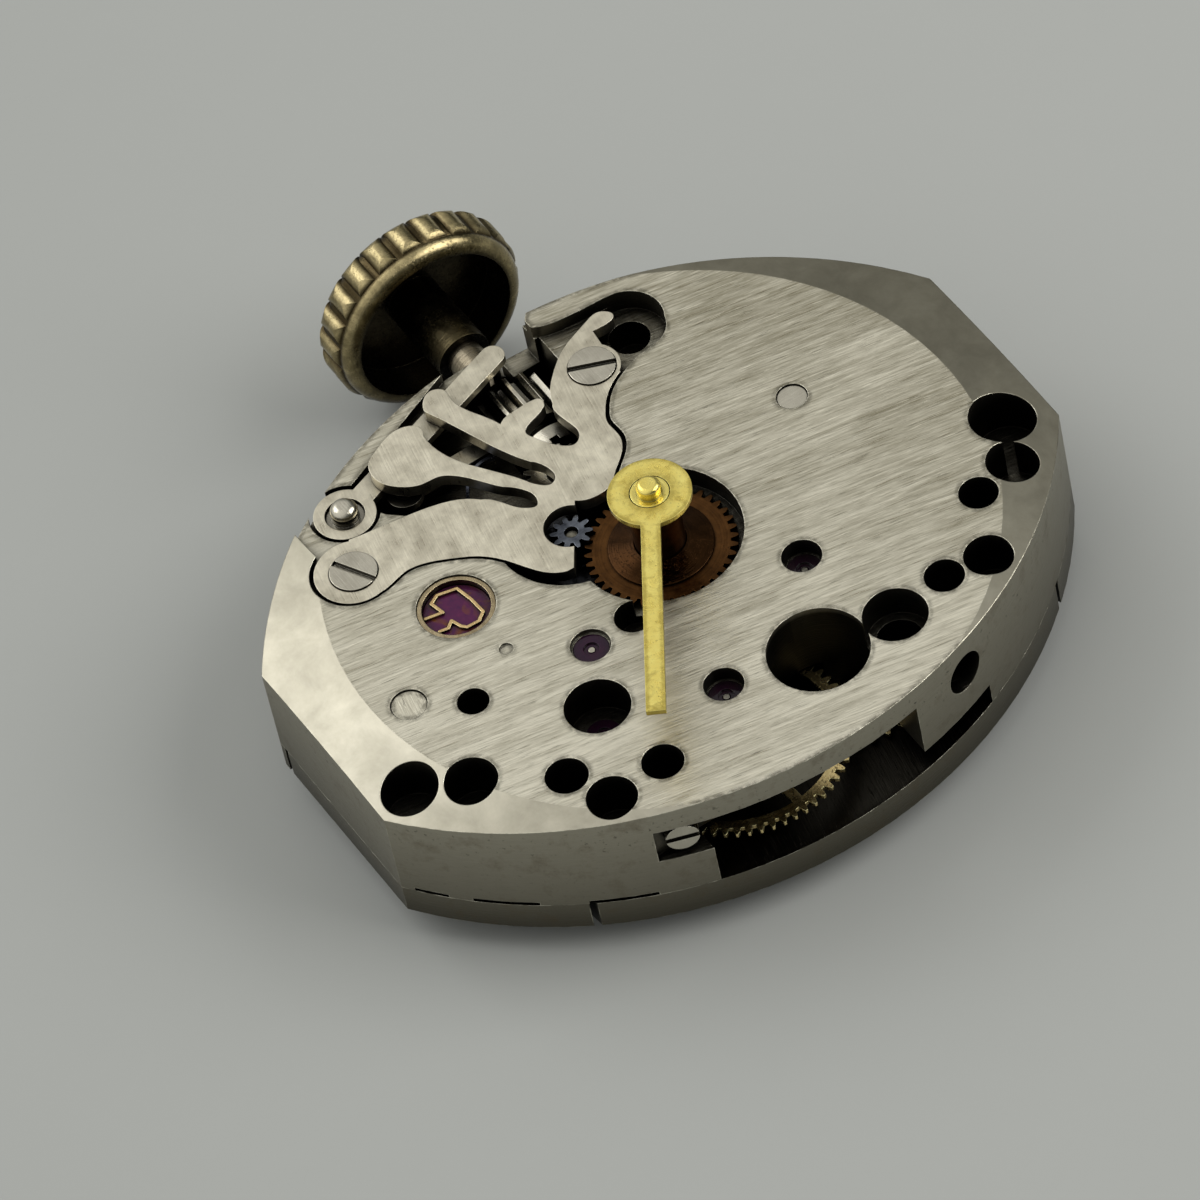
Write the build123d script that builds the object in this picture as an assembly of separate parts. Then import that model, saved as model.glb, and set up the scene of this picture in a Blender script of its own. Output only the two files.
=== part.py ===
from build123d import *
from math import asin, atan2, cos, degrees, hypot, pi, radians, sin, sqrt
import os

# Small hand-wound lever movement, in millimetres.
# The origin is on the axis of the hands, at the back plane of the bridges.
# +Z points to the dial, +X to the crown and +Y to 12 o'clock.

# Size of the movement
half_width = 7.42
flat_distance = 8.95
flat_half = 2.584
bevel_width = 1.30
bevel_drop = 0.30

# Heights, added up from the back
bridge_thickness = 0.80
running_gap = 0.06
wheel_thickness = 0.11
barrel_height = 0.98
web_floor = 0.26
motion_gap = 0.05
motion_wheel_height = 0.13
keyless_room = 0.42
hour_wheel_height = 0.12
cover_thickness = 0.32
cover_sink = 0.04
rim_web = 0.65

# Clearances
turning_gap = 0.02
fit_gap = 0.01
pocket_gap = 0.08
part_gap = 0.10
bridge_gap = 0.14
overrun = 0.5

# Axes of the train, seen from the dial
barrel_x, barrel_y = 1.42, -4.49
third_x, third_y = -2.55, -2.13
fourth_x, fourth_y = -4.46, 1.19
escape_x, escape_y = -3.20, 3.69
pallet_x, pallet_y = -1.67, 2.89
balance_x, balance_y = 1.18, 4.63
minute_x, minute_y = 1.51, 1.41

# Tooth counts
barrel_teeth, centre_leaves = 74, 12
centre_teeth, third_leaves = 64, 8
third_teeth, fourth_leaves = 60, 8
fourth_teeth, escape_leaves = 60, 6
escape_teeth = 15
cannon_teeth, minute_teeth = 12, 36
minute_leaves, hour_teeth = 10, 40
setting_teeth = 18
ratchet_teeth, crown_teeth = 45, 25
contrate_teeth, winding_teeth, clutch_teeth = 20, 14, 12

# Barrel and mainspring
drum_wall = 0.14
drum_floor = 0.13
barrel_tooth_height = 0.26
arbor_core_radius = 0.80
arbor_back_radius = 0.42
arbor_dial_radius = 0.34
mainspring_band = 0.085
mainspring_turns = 9

# Arbors, pivots and jewels
arbor_radius = 0.17
wheel_hub_radius = 0.45
centre_spoke_angle, third_spoke_angle, fourth_spoke_angle, escape_spoke_angle = 0, 15, 40, 20
centre_arbor_radius = 0.20
cannon_arbor_radius = 0.18
pivot_radius = 0.075
jewel_radius = 0.40
back_jewel_radius = 0.34
jewel_height = 0.22
jewel_sink = 0.06
oil_cup_radius = 0.18
oil_cup_depth = 0.05
sight_radius = 0.459
escape_sight_radius = 0.752
third_jewel_depth = 0.45
fourth_jewel_depth = 0.40
escape_jewel_depth = 1.00
pallet_jewel_depth = 0.12

# Escapement
fourth_rise = 0.70
fork_rise = 1.00
fork_thickness = 0.12
fork_hub_radius = 0.32
fork_arm_width = 0.24
fork_head_width = 0.52
fork_head_length = 0.34
fork_swing_room = 0.30
pallet_arbor_radius = 0.12
stone_width = 0.17
stone_length = 0.38
stone_height = 0.20
stone_clearance = 0.04
stone_span_angle = 30
escape_rim_share = 0.60

# Balance, with its hairspring and regulator
balance_radius = 3.55
balance_rim_width = 0.34
balance_rim_height = 0.24
balance_arm_width = 0.36
balance_arm_height = 0.12
balance_hub_radius = 0.46
balance_rise = 0.10
staff_radius = 0.16
staff_pivot_radius = 0.06
roller_radius = 0.62
roller_height = 0.12
roller_rise = 0.82
impulse_radius = 0.09
impulse_orbit = 0.46
impulse_length = 0.33
collet_radius = 0.40
hairspring_outer = 1.75
hairspring_turns = 7
hairspring_band = 0.045
hairspring_height = 0.12
stud_radius = 0.13
stud_angle = 100
lug_width = 0.50
cock_arm_width = 1.70
cock_arm_low, cock_arm_high = 0.20, 0.52
regulator_height = 0.13
regulator_ring = 0.26
regulator_tail = 2.55
regulator_tail_width = 0.22
regulator_angle = 55
curb_pin_radius = 0.05
back_sink = 0.03

# Shock settings: one in the plate, one in the balance cock
shock_radius = 0.889
shock_height = 0.66
back_shock_radius = 0.66
back_shock_height = 0.50
shock_wall_share = 0.28
cap_jewel_height = 0.20
shock_spring_height = 0.06
shock_spring_width = 0.075
cap_room_share = 0.88

# Screws: head, then shank
bridge_head_radius, bridge_head_height = 0.42, 0.30
bridge_shank_radius, bridge_shank_length = 0.24, 1.15
cover_head_radius, cover_head_height = 0.55, 0.22
cover_shank_radius, cover_shank_length = 0.27, 0.85
cock_head_radius, cock_head_height = 0.24, 0.13
cock_shank_radius, cock_shank_length = 0.14, 0.42
wheel_head_radius, wheel_head_height = 0.62, 0.14
wheel_shank_radius, wheel_shank_length = 0.28, 0.34
click_head_radius, click_shank_radius = 0.30, 0.15
foot_screw_radius, foot_screw_length = 0.38, 0.80
slot_width = 0.14
slot_depth = 0.10
cone_tip_share = 0.25

# Dial feet
foot_left = (-5.40, 3.40)
foot_right = (5.69, -2.79)
foot_left_angle = 159.6
foot_right_angle = -20
dial_foot_radius = 0.48
dial_foot_depth = 1.40
foot_screw_depth = 1.04
foot_screw_reach = 1.36
foot_notch_half = 0.62
foot_lobe_radius = 0.88
foot_lobe_depth = 0.60

# Stem, winding pinion and sliding pinion
stem_height = 1.65
stem_radius = 0.45
stem_pilot_radius = 0.20
stem_square = 0.42
stem_neck_radius = 0.34
stem_start = 3.72
stem_groove_x = 7.10
stem_groove_radius = 0.27
stem_groove_width = 0.30
stem_thread_radius = 0.28
clutch_start = 4.55
clutch_length = 1.05
clutch_radius = 0.95
clutch_travel = 0.30
clutch_groove_share = 0.62
clutch_groove_width = 0.34
clutch_groove_radius = 0.66
clutch_tooth_depth = 0.13
winding_length = 1.08
winding_radius = 1.03
stem_wall_x = 6.86
stem_travel = 0.40
stem_cut_start = 6.00
stem_cut_low, stem_cut_high = -1.00, -0.25
stem_cut_floor = 2.45

# Crown
crown_start = 9.98
crown_length = 1.25
crown_dome = 0.22
crown_radius = 2.50
crown_rounding = 0.30
crown_hollow_radius = 2.00
crown_hollow_depth = 1.00
crown_tube_radius = 0.66
crown_tube_reach = 1.23
crown_knobs = 22
crown_knob_radius = 0.33
crown_knob_rise = 0.13
crown_knob_rounding = 0.28
crown_plain_band = 0.26
crown_knob_end = 0.06

# Ratchet wheel, crown wheel and click, in recesses of the barrel bridge
winding_wheel_height = 0.25
winding_recess = 0.30
contrate_radius = 1.35
contrate_width = 0.24
contrate_height = 0.38
contrate_tooth_depth = 0.12
crown_core_radius = 0.50
ratchet_head_radius = 0.78
ratchet_square = 0.58
click_angle = 106
click_distance = 0.64
click_eye = 0.42
click_width = 0.26
click_height = 0.18
click_room = 1.05
spring_wire = 0.07

# Motion work and hands
cannon_tube_radius = 0.44
cannon_seat_radius = 0.28
cannon_tip_rise = 1.79
cannon_tip_round = 0.12
cannon_bore_depth = 1.25
hour_pipe_radius = 0.58
hour_recess_radius = 1.91
minute_post_radius = 0.14
setting_post_radius = 0.30
hand_disc_radius = 0.95
hand_length = 6.15
hand_width = 0.44
hand_thickness = 0.13
hand_angle = 148.4
hand_rise = 1.36
hand_web = 0.05
washer_radius = 1.20
washer_dish = 0.14
washer_thickness = 0.05

# Keyless works
cover_screw_top = (3.51, 5.89)
cover_screw_low = (5.09, -1.48)
cover_eye = 0.90
cover_low_eye = 0.66
lever_at = (5.31, 5.07)
lever_eye = 0.72
lever_width = 0.58
lever_thickness = 0.20
lever_nose_radius = 0.10
lever_post_radius = 0.32
lever_flange_radius = 0.44
lever_flange_height = 0.14
lever_shank_radius = 0.20
lever_shank_length = 0.80
yoke_at = (5.20, 3.60)
yoke_eye = 0.42
yoke_width = 0.44
yoke_thickness = 0.18
yoke_rise = 0.07
yoke_pin_radius = 0.17
yoke_finger = 0.87
yoke_finger_width = 0.24
yoke_finger_depth = 0.85
spring_foot_at = (3.78, 2.72)
spring_foot_radius = 0.20

# Small places on the plate: holes for a sight of what lies under, and pins
plug_at = (-0.49, 6.92)
plug_radius = 0.42
steady_radius = 0.20
steady_length = 0.75
pallet_cock_foot = (-1.05, 4.55)
centre_cock_foot = (3.60, 1.00)
cock_thickness = 0.30
cock_width = 0.66
cock_shock_wall = 0.22
balance_screw_place = (-3.13, 6.96)
train_screw_places = ((-5.17, -5.35), (-4.39, 5.26))
barrel_screw_places = ((-3.26, -7.28), (6.10, -3.75), (5.75, 2.75))
steady_places = ((-3.57, -6.17), (-5.51, 4.80), (-2.35, 8.10), (5.55, 4.30))

# A hole in the side by the lower left corner, and slots in the edge of the joint with the bridges
side_hole_at = (-6.83, -3.46)
side_hole_z = 2.60
side_hole_radius = 0.52
side_hole_depth = 0.70
side_hole_angle = 19
edge_slot_height = 0.10
edge_slot_depth = 0.30

# Windows in the 9 o'clock side
window_low, window_high = -1.95, 3.30
slot_low, slot_rise = -4.10, 0.60
window_deep = 4.79
window_shallow = 6.05
window_step = 2.75

# Every height follows from the values above
third_z = bridge_thickness + running_gap
barrel_z = third_z + wheel_thickness + running_gap
barrel_top = barrel_z + barrel_height
centre_z = barrel_top + running_gap
train_ceiling = centre_z + wheel_thickness + running_gap
recess_floor = train_ceiling + web_floor
motion_z = recess_floor + motion_gap
motion_top = motion_z + motion_wheel_height
hour_z = motion_top + keyless_room
shelf_z = hour_z + hour_wheel_height + turning_gap
cover_top = shelf_z + cover_thickness
seat_z = cover_top + cover_sink
web_z = seat_z - rim_web
balance_z = bridge_thickness + balance_rise
cock_z = balance_z + balance_rim_height + pocket_gap
cock_top = cock_z + cock_thickness
fourth_z = bridge_thickness + fourth_rise
fork_z = bridge_thickness + fork_rise
stone_z = fork_z + fork_thickness / 2 - stone_height / 2
fork_ceiling = stone_z + stone_height + part_gap
roller_z = bridge_thickness + roller_rise
hairspring_z = bridge_thickness - hairspring_height - pocket_gap
yoke_z = motion_top + yoke_rise
lever_z = shelf_z - turning_gap - lever_thickness
lever_floor = lever_z - turning_gap * 2
winding_wheel_z = back_sink
winding_wheel_top = winding_wheel_z + winding_wheel_height
hand_z = seat_z + hand_rise
shoulder_z = hand_z + hand_thickness

# Axes as points
centre_at = (0, 0)
barrel_at = (barrel_x, barrel_y)
third_at = (third_x, third_y)
fourth_at = (fourth_x, fourth_y)
escape_at = (escape_x, escape_y)
pallet_at = (pallet_x, pallet_y)
balance_at = (balance_x, balance_y)
minute_at = (minute_x, minute_y)


def between(a, b):
    return hypot(b[0] - a[0], b[1] - a[1])


def bearing(a, b):
    return degrees(atan2(b[1] - a[1], b[0] - a[0]))


def polar(at, radius, angle):
    return (at[0] + radius * cos(radians(angle)), at[1] + radius * sin(radians(angle)))


def sideways(points, gap):
    # the same line, moved to its right-hand side by gap
    moved = []
    last = len(points) - 1
    for k, (x, y) in enumerate(points):
        a, b = points[max(k - 1, 0)], points[min(k + 1, last)]
        length = between(a, b)
        moved.append((x + (b[1] - a[1]) / length * gap, y - (b[0] - a[0]) / length * gap))
    return moved


def post(at, radius, z0, z1):
    return Pos(at[0], at[1], z0) * Cylinder(
        radius, z1 - z0, align=(Align.CENTER, Align.CENTER, Align.MIN))


def through(at, radius):
    return post(at, radius, -overrun, seat_z + overrun)


def ring(at, outer, inner, z0, z1):
    return post(at, outer, z0, z1) - post(at, inner, z0 - overrun, z1 + overrun)


def turned(at, steps):
    # a piece turned about an upright axis, from (radius, low, high) steps
    solid = post(at, *steps[0])
    for step in steps[1:]:
        solid = solid + post(at, *step)
    return solid


def turned_x(steps):
    # the same along the stem, from (radius, inner end, outer end) steps
    solid = None
    for radius, x0, x1 in steps:
        piece = Pos(x0, 0, stem_height) * Rot(0, 90, 0) * Cylinder(
            radius, x1 - x0, align=(Align.CENTER, Align.CENTER, Align.MIN))
        solid = piece if solid is None else solid + piece
    return solid


def block(x0, x1, y0, y1, z0, z1):
    return Pos((x0 + x1) / 2, (y0 + y1) / 2, (z0 + z1) / 2) * Box(x1 - x0, y1 - y0, z1 - z0)


def slab(at, angle, length, width, z0, z1):
    # a flat block centred at a point, with its length along angle
    return Pos(at[0], at[1], (z0 + z1) / 2) * Rot(0, 0, angle) * Box(length, width, z1 - z0)


def bar(a, b, width, z0, z1):
    # a flat bar with round ends from a to b
    middle = ((a[0] + b[0]) / 2, (a[1] + b[1]) / 2)
    flat = slab(middle, bearing(a, b), between(a, b), width, z0, z1)
    return flat + post(a, width / 2, z0, z1) + post(b, width / 2, z0, z1)


def prism(points, z0, z1):
    face = make_face(Polyline(*points, close=True))
    return Pos(0, 0, z0) * extrude(face, amount=z1 - z0)


def contour(runs, z0, z1):
    # a closed outline of runs: two points make a line, more make a smooth curve
    edges = [Line(*run) if len(run) == 2 else Spline(*run) for run in runs]
    return Pos(0, 0, z0) * extrude(make_face(Curve() + edges), amount=z1 - z0)


def group(solids):
    pieces = []
    for solid in solids:
        pieces += solid.solids()
    return Compound(children=pieces)


def toothed(at, teeth, module, z0, z1, phase, tip_share=0.90, root_share=1.15):
    # a spur wheel with one tooth centred on the bearing called phase
    pitch = module * teeth / 2
    radii = (pitch - root_share * module, pitch, pitch + tip_share * module)
    flank_shares = ((-0.33, 0), (-0.235, 1), (-0.10, 2), (0.10, 2), (0.235, 1), (0.33, 0))
    step = 360 / teeth
    points = []
    for tooth in range(teeth):
        for share, level in flank_shares:
            points.append(polar(at, radii[level], phase + (tooth + share) * step))
    return prism(points, z0, z1)


def spoked(wheel, at, spokes, hub, rim, width, z0, z1, turn):
    # the wheel with its windows cut, so that spokes of the given width stay
    windows = ring(at, rim, hub, z0 - overrun, z1 + overrun)
    for k in range(spokes):
        angle = turn + k * 360 / spokes
        windows = windows - slab(polar(at, rim / 2, angle), angle, rim + width, width,
                                 z0 - overrun * 2, z1 + overrun * 2)
    return wheel - windows


def spiral(at, start, pitch, half_turns, band, z0, z1, turn):
    # a flat band wound in half circles, with two centres in turn so that it never kinks
    edges = []
    ends = []
    for offset in (band / 2, -band / 2):
        line = []
        for k in range(half_turns):
            side = -1 if k % 2 else 1
            middle = pitch / 2 if k % 2 else 0
            radius = start + k * pitch / 2 + offset
            line.append(ThreePointArc((middle + side * radius, 0), (middle, side * radius),
                                      (middle - side * radius, 0)))
        edges += line
        ends.append((line[0] @ 0, line[-1] @ 1))
    edges += [Line(ends[0][0], ends[1][0]), Line(ends[0][1], ends[1][1])]
    face = make_face(Curve() + edges)
    return Pos(at[0], at[1], z0) * Rot(0, 0, turn) * extrude(face, amount=z1 - z0)


def spiral_end(at, start, pitch, half_turns, turn):
    last = half_turns - 1
    side = -1 if last % 2 else 1
    middle = pitch / 2 if last % 2 else 0
    x = middle - side * (start + last * pitch / 2)
    return polar(at, abs(x), turn + (180 if x < 0 else 0))


def screw(at, face, head, head_height, shank, shank_length, slot_angle, side=1):
    # a slotted screw: face is the height of its slotted face, side is where that looks
    under = face - side * head_height
    end = under - side * shank_length
    point = end - side * shank
    solid = post(at, head, min(face, under), max(face, under))
    solid = solid + post(at, shank, min(under, end), max(under, end))
    cone = Pos(at[0], at[1], (end + point) / 2) * Rot(0 if side < 0 else 180, 0, 0) * Cone(
        shank, shank * cone_tip_share, shank)
    slot = slab((at[0], at[1]), slot_angle, head * 2 + overrun, slot_width,
                face - slot_depth, face + slot_depth)
    return solid + cone - slot


def outline(z0, z1):
    # the plan of the movement: two wide arcs and two flats
    edges = [
        ThreePointArc((flat_half, -flat_distance), (half_width, 0), (flat_half, flat_distance)),
        Line((flat_half, flat_distance), (-flat_half, flat_distance)),
        ThreePointArc((-flat_half, flat_distance), (-half_width, 0), (-flat_half, -flat_distance)),
        Line((-flat_half, -flat_distance), (flat_half, -flat_distance)),
    ]
    return Pos(0, 0, z0) * extrude(make_face(Curve() + edges), amount=z1 - z0)


# Wheel sizes that several pieces share
barrel_module = 2 * between(centre_at, barrel_at) / (barrel_teeth + centre_leaves)
centre_module = 2 * between(centre_at, third_at) / (centre_teeth + third_leaves)
third_module = 2 * between(third_at, fourth_at) / (third_teeth + fourth_leaves)
fourth_module = 2 * between(fourth_at, escape_at) / (fourth_teeth + escape_leaves)
cannon_module = 2 * between(centre_at, minute_at) / (cannon_teeth + minute_teeth)
hour_module = 2 * between(centre_at, minute_at) / (minute_leaves + hour_teeth)


def tip(module, teeth):
    return module * (teeth / 2 + 1)


barrel_tip = tip(barrel_module, barrel_teeth)
centre_tip = tip(centre_module, centre_teeth)
third_tip = tip(third_module, third_teeth)
fourth_tip = tip(fourth_module, fourth_teeth)
minute_tip = tip(cannon_module, minute_teeth)
setting_tip = tip(cannon_module, setting_teeth)
hour_tip = tip(hour_module, hour_teeth)
escape_tip = between(escape_at, pallet_at) * cos(radians(stone_span_angle)) - stone_clearance
drum_radius = barrel_tip - barrel_module * 2.6
balance_opening = balance_radius + pocket_gap * 2
escape_opening = escape_tip + pocket_gap * 2

# The setting wheel stands clear of the sliding pinion and in mesh with the minute wheel
setting_x = clutch_start - running_gap - setting_tip
setting_reach = cannon_module * (setting_teeth + minute_teeth) / 2
setting_y = minute_y - sqrt(setting_reach ** 2 - (setting_x - minute_x) ** 2)
setting_at = (setting_x, setting_y)

# The crown wheel lies behind the winding pinion, and meshes with the ratchet wheel
winding_start = clutch_start + clutch_length + part_gap
winding_end = winding_start + winding_length
crown_wheel_at = (winding_start + winding_length / 2 - contrate_radius, 0)
ratchet_module = 2 * between(barrel_at, crown_wheel_at) / (ratchet_teeth + crown_teeth)
ratchet_tip = tip(ratchet_module, ratchet_teeth)
crown_wheel_tip = tip(ratchet_module, crown_teeth)
click_at = polar(barrel_at, ratchet_tip + click_distance, click_angle)

# The end of the setting lever rides in the groove of the stem
nose_at = (stem_groove_x, 0)
finger_at = (yoke_at[0], yoke_finger)

# Dial screws lie level and point at the dial feet
foot_screw_z = seat_z - foot_screw_depth
foot_screw_lines = ((foot_left, foot_left_angle), (foot_right, foot_right_angle))

# Outline of the keyless cover, as shares of the reach from the hand axis to its upper eye
inner_edge_shares = [
    (0.396, 0.920), (0.384, 0.855), (0.386, 0.802), (0.404, 0.730), (0.395, 0.664), (0.356, 0.583),
    (0.303, 0.503), (0.233, 0.445), (0.160, 0.405), (0.102, 0.365), (0.067, 0.312)]
corner_shares = [(0.066, 0.288), (0.136, 0.242)]
notch_edge_shares = [(0.300, 0.135), (0.274, 0.092), (0.270, 0.044), (0.284, -0.008)]
lower_edge_shares = [
    (0.284, -0.008), (0.314, -0.030), (0.345, -0.066), (0.380, -0.102), (0.438, -0.127),
    (0.510, -0.127), (0.556, -0.149), (0.600, -0.183), (0.642, -0.235), (0.664, -0.277)]
tail_shares = [
    (0.868, -0.300), (0.905, -0.385), (0.925, -0.360), (0.915, -0.300), (0.865, -0.180),
    (0.800, -0.100), (0.730, -0.044), (0.693, -0.030)]
opening_shares = [
    (0.693, -0.030), (0.584, -0.029), (0.520, -0.024), (0.500, 0.008), (0.515, 0.036),
    (0.560, 0.072), (0.612, 0.098), (0.648, 0.105), (0.664, 0.088), (0.680, 0.044), (0.696, 0.008)]
finger_shares = [
    (0.696, 0.008), (0.712, -0.008), (0.738, -0.006), (0.747, 0.015), (0.748, 0.075),
    (0.743, 0.125), (0.728, 0.152)]
arm_low_shares = [(0.728, 0.152), (0.802, 0.182), (0.880, 0.216), (0.945, 0.219)]
arm_end_shares = [(0.945, 0.219), (0.985, 0.228), (0.998, 0.258), (0.975, 0.300), (0.934, 0.318)]
arm_top_shares = [(0.934, 0.318), (0.800, 0.268), (0.656, 0.219), (0.530, 0.160)]
slot_shares = [
    (0.530, 0.160), (0.455, 0.126), (0.420, 0.134), (0.408, 0.156), (0.425, 0.186), (0.470, 0.214)]
detent_low_shares = [
    (0.470, 0.214), (0.560, 0.266), (0.640, 0.318), (0.700, 0.350), (0.780, 0.374), (0.850, 0.376)]
detent_end_shares = [
    (0.850, 0.376), (0.900, 0.372), (0.928, 0.420), (0.922, 0.480), (0.897, 0.535), (0.870, 0.578),
    (0.820, 0.598), (0.765, 0.588), (0.712, 0.546), (0.680, 0.490), (0.672, 0.430), (0.640, 0.385),
    (0.580, 0.340), (0.500, 0.288)]
gap_shares = [
    (0.500, 0.288), (0.440, 0.238), (0.385, 0.228), (0.362, 0.242), (0.372, 0.272),
    (0.440, 0.322), (0.500, 0.372)]
outer_edge_shares = [
    (0.500, 0.372), (0.548, 0.430), (0.580, 0.510), (0.600, 0.600), (0.620, 0.720), (0.636, 0.800)]

# The dial-side recess ends around the right-hand dial foot in a horn, as the same shares
horn_shares = [
    (0.678, -0.350), (0.685, -0.423), (0.707, -0.481), (0.744, -0.510), (0.817, -0.525),
    (0.890, -0.510), (0.948, -0.452), (0.963, -0.350), (0.970, -0.277), (0.992, -0.175),
    (1.021, -0.139), (1.065, -0.160), (1.160, -0.230)]
pocket_shares = [
    (0.365, 0.233), (0.365, 0.350), (0.467, 0.423), (0.547, 0.452), (0.576, 0.525), (0.685, 0.634),
    (0.780, 0.690), (0.860, 0.627), (0.904, 0.510), (0.941, 0.350), (0.941, 0.150), (0.612, 0.150),
    (0.467, 0.131)]

# Line of a shock spring, as shares of the radius of its setting
lyre_shares = [
    (0.280, 0.770), (0.176, 0.310), (0.590, 0.394), (0.735, 0.145), (0.600, -0.373), (0.078, -0.470),
    (-0.445, -0.497), (-0.632, -0.259), (-0.611, 0.083), (-0.487, 0.186), (-0.186, 0.280),
    (-0.342, 0.476), (-0.290, 0.694)]

# Splits between the bridges, as shares of half the width and half the height of the movement
split_low_shares = [(-0.780, -0.858), (-0.566, -0.782), (-0.400, -0.722)]
split_high_shares = [(-0.170, -0.070), (-0.208, 0.067), (-0.205, 0.170), (-0.165, 0.290)]
cock_split_shares = [(-1.200, 0.660), (-0.768, 0.664), (-0.507, 0.683), (-0.310, 0.694), (-0.100, 0.698)]
barrel_split_radius = 3.95
barrel_split_angles = (195, 180, 165, 150, 136)
right_split = (2.40, 6.00)

# Ends of the slots in the joint, as the same shares
edge_slot_shares = (
    ((-0.377, 0.969), (-0.465, 0.916)), ((-0.505, 0.860), (-0.660, 0.752)), ((-0.768, 0.668), (-0.868, 0.516)))

# Holes through which the train shows from the dial side: place, radius, depth
sight_holes = (
    ((-4.98, -0.96), 1.163, 2.70),
    ((-5.25, -2.82), 0.742, 0.85),
    ((-5.25, -2.82), 0.530, 2.70),
    ((-5.03, -4.27), 0.460, 1.20),
    ((-5.17, -5.35), 0.564, 1.20),
    ((-3.57, -6.17), 0.455, 1.20),
    ((-3.26, -7.28), 0.600, 1.20),
    ((-2.04, -7.83), 0.761, 1.35),
    ((-5.51, 4.80), 0.578, 1.20),
    ((-4.39, 5.26), 0.491, 1.20),
    ((-3.13, 6.96), 0.610, 1.20),
    ((-2.35, 8.10), 0.662, 1.20),
    ((-1.33, 5.76), 0.367, 1.30),
    ((-1.60, 1.70), 0.450, 0.80),
    ((-0.55, 4.40), 0.160, 0.05),
)
plate_jewels = (
    (third_at, sight_radius, seat_z - third_jewel_depth),
    (fourth_at, sight_radius, seat_z - fourth_jewel_depth),
    (escape_at, escape_sight_radius, seat_z - escape_jewel_depth),
    (pallet_at, sight_radius, seat_z - pallet_jewel_depth),
)
back_jewels = (third_at, fourth_at, escape_at)
arbor_room = arbor_radius + running_gap


def keyless(shares):
    reach = hypot(*cover_screw_top)
    return [(x * reach, y * reach) for x, y in shares]


def planwise(shares):
    return [(x * half_width, y * flat_distance) for x, y in shares]


def linked(runs):
    # joins each run to the next with a straight line where their ends differ
    joined = []
    for k, run in enumerate(runs):
        joined.append(run)
        following = runs[(k + 1) % len(runs)]
        if between(run[-1], following[0]) > 0:
            joined.append([run[-1], following[0]])
    return joined


def split_line():
    arc = [polar(barrel_at, barrel_split_radius, angle) for angle in barrel_split_angles]
    return planwise(split_low_shares) + arc + planwise(split_high_shares)


def region(runs):
    return contour(linked(runs), -overrun, bridge_thickness + overrun)


far = flat_distance + half_width


def barrel_region():
    edge = split_line()
    corners = [balance_at, right_split, (right_split[0], far), (far, far), (far, -far), (edge[0][0], -far)]
    return region([edge] + [[a, b] for a, b in zip(corners, corners[1:])])


def cock_region():
    edge = planwise(cock_split_shares)
    end = right_split[0] - bridge_gap
    corners = [balance_at, (end, right_split[1]), (end, far), (edge[0][0], far)]
    return region([edge] + [[a, b] for a, b in zip(corners, corners[1:])])


def train_region():
    lower = sideways(split_line(), -bridge_gap)
    upper = sideways(planwise(cock_split_shares), bridge_gap)
    return region([lower, upper[::-1], [(upper[0][0], upper[0][1]), (upper[0][0], lower[0][1])]])


def bridge_bore(solid, at):
    # counterbore, shank hole and nothing else, for a bridge screw from the back
    seat = back_sink + bridge_head_height
    solid = solid - post(at, bridge_head_radius + turning_gap, -overrun, seat)
    return solid - through(at, bridge_shank_radius + turning_gap)


def jewel_bore(solid, at):
    solid = solid - post(at, back_jewel_radius + fit_gap, -overrun, back_jewel_top)
    return solid - post(at, arbor_room, -overrun, bridge_thickness + overrun)


back_jewel_low = back_sink + jewel_sink
back_jewel_top = back_jewel_low + jewel_height


def train_bridge():
    solid = outline(0, bridge_thickness) & train_region()
    solid = solid - through(balance_at, balance_opening)
    for at in back_jewels:
        solid = jewel_bore(solid, at)
    for at in train_screw_places:
        solid = bridge_bore(solid, at)
    for at in steady_places[:2]:
        solid = solid - post(at, steady_radius + fit_gap, bridge_thickness / 2, bridge_thickness + overrun)
    return solid


def barrel_bridge():
    solid = outline(0, bridge_thickness) & barrel_region()
    solid = solid - through(balance_at, balance_opening)
    for at in barrel_screw_places:
        solid = bridge_bore(solid, at)
    solid = solid - post(
        steady_places[3], steady_radius + fit_gap, bridge_thickness / 2, bridge_thickness + overrun)
    solid = solid - post(barrel_at, ratchet_tip + pocket_gap, -overrun, winding_recess)
    solid = solid - post(crown_wheel_at, crown_wheel_tip + pocket_gap, -overrun, winding_recess)
    solid = solid - post(click_at, click_room, -overrun, winding_recess)
    solid = solid - through(barrel_at, arbor_back_radius + turning_gap)
    groove_top = winding_wheel_top + contrate_height + fit_gap * 4
    half = contrate_width / 2 + running_gap
    solid = solid - ring(
        crown_wheel_at, contrate_radius + half, contrate_radius - half, -overrun, groove_top)
    solid = solid + post(crown_wheel_at, crown_core_radius, winding_recess / 2, bridge_thickness)
    room = sqrt(winding_radius ** 2 - (stem_height - bridge_thickness) ** 2) + pocket_gap
    floor = stem_height - winding_radius - pocket_gap / 2
    solid = solid - block(clutch_room_start, stem_wall_x, -room, room, floor, bridge_thickness + overrun)
    solid = solid - post(crown_wheel_at, wheel_shank_radius + fit_gap, -overrun, wheel_shank_top)
    return solid - post(click_at, click_shank_radius + fit_gap, -overrun, click_shank_top)


clutch_room_start = clutch_start - clutch_travel - part_gap
wheel_shank_top = winding_wheel_z + wheel_head_height + wheel_shank_length
click_shank_top = winding_recess + bridge_thickness / 4


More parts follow.
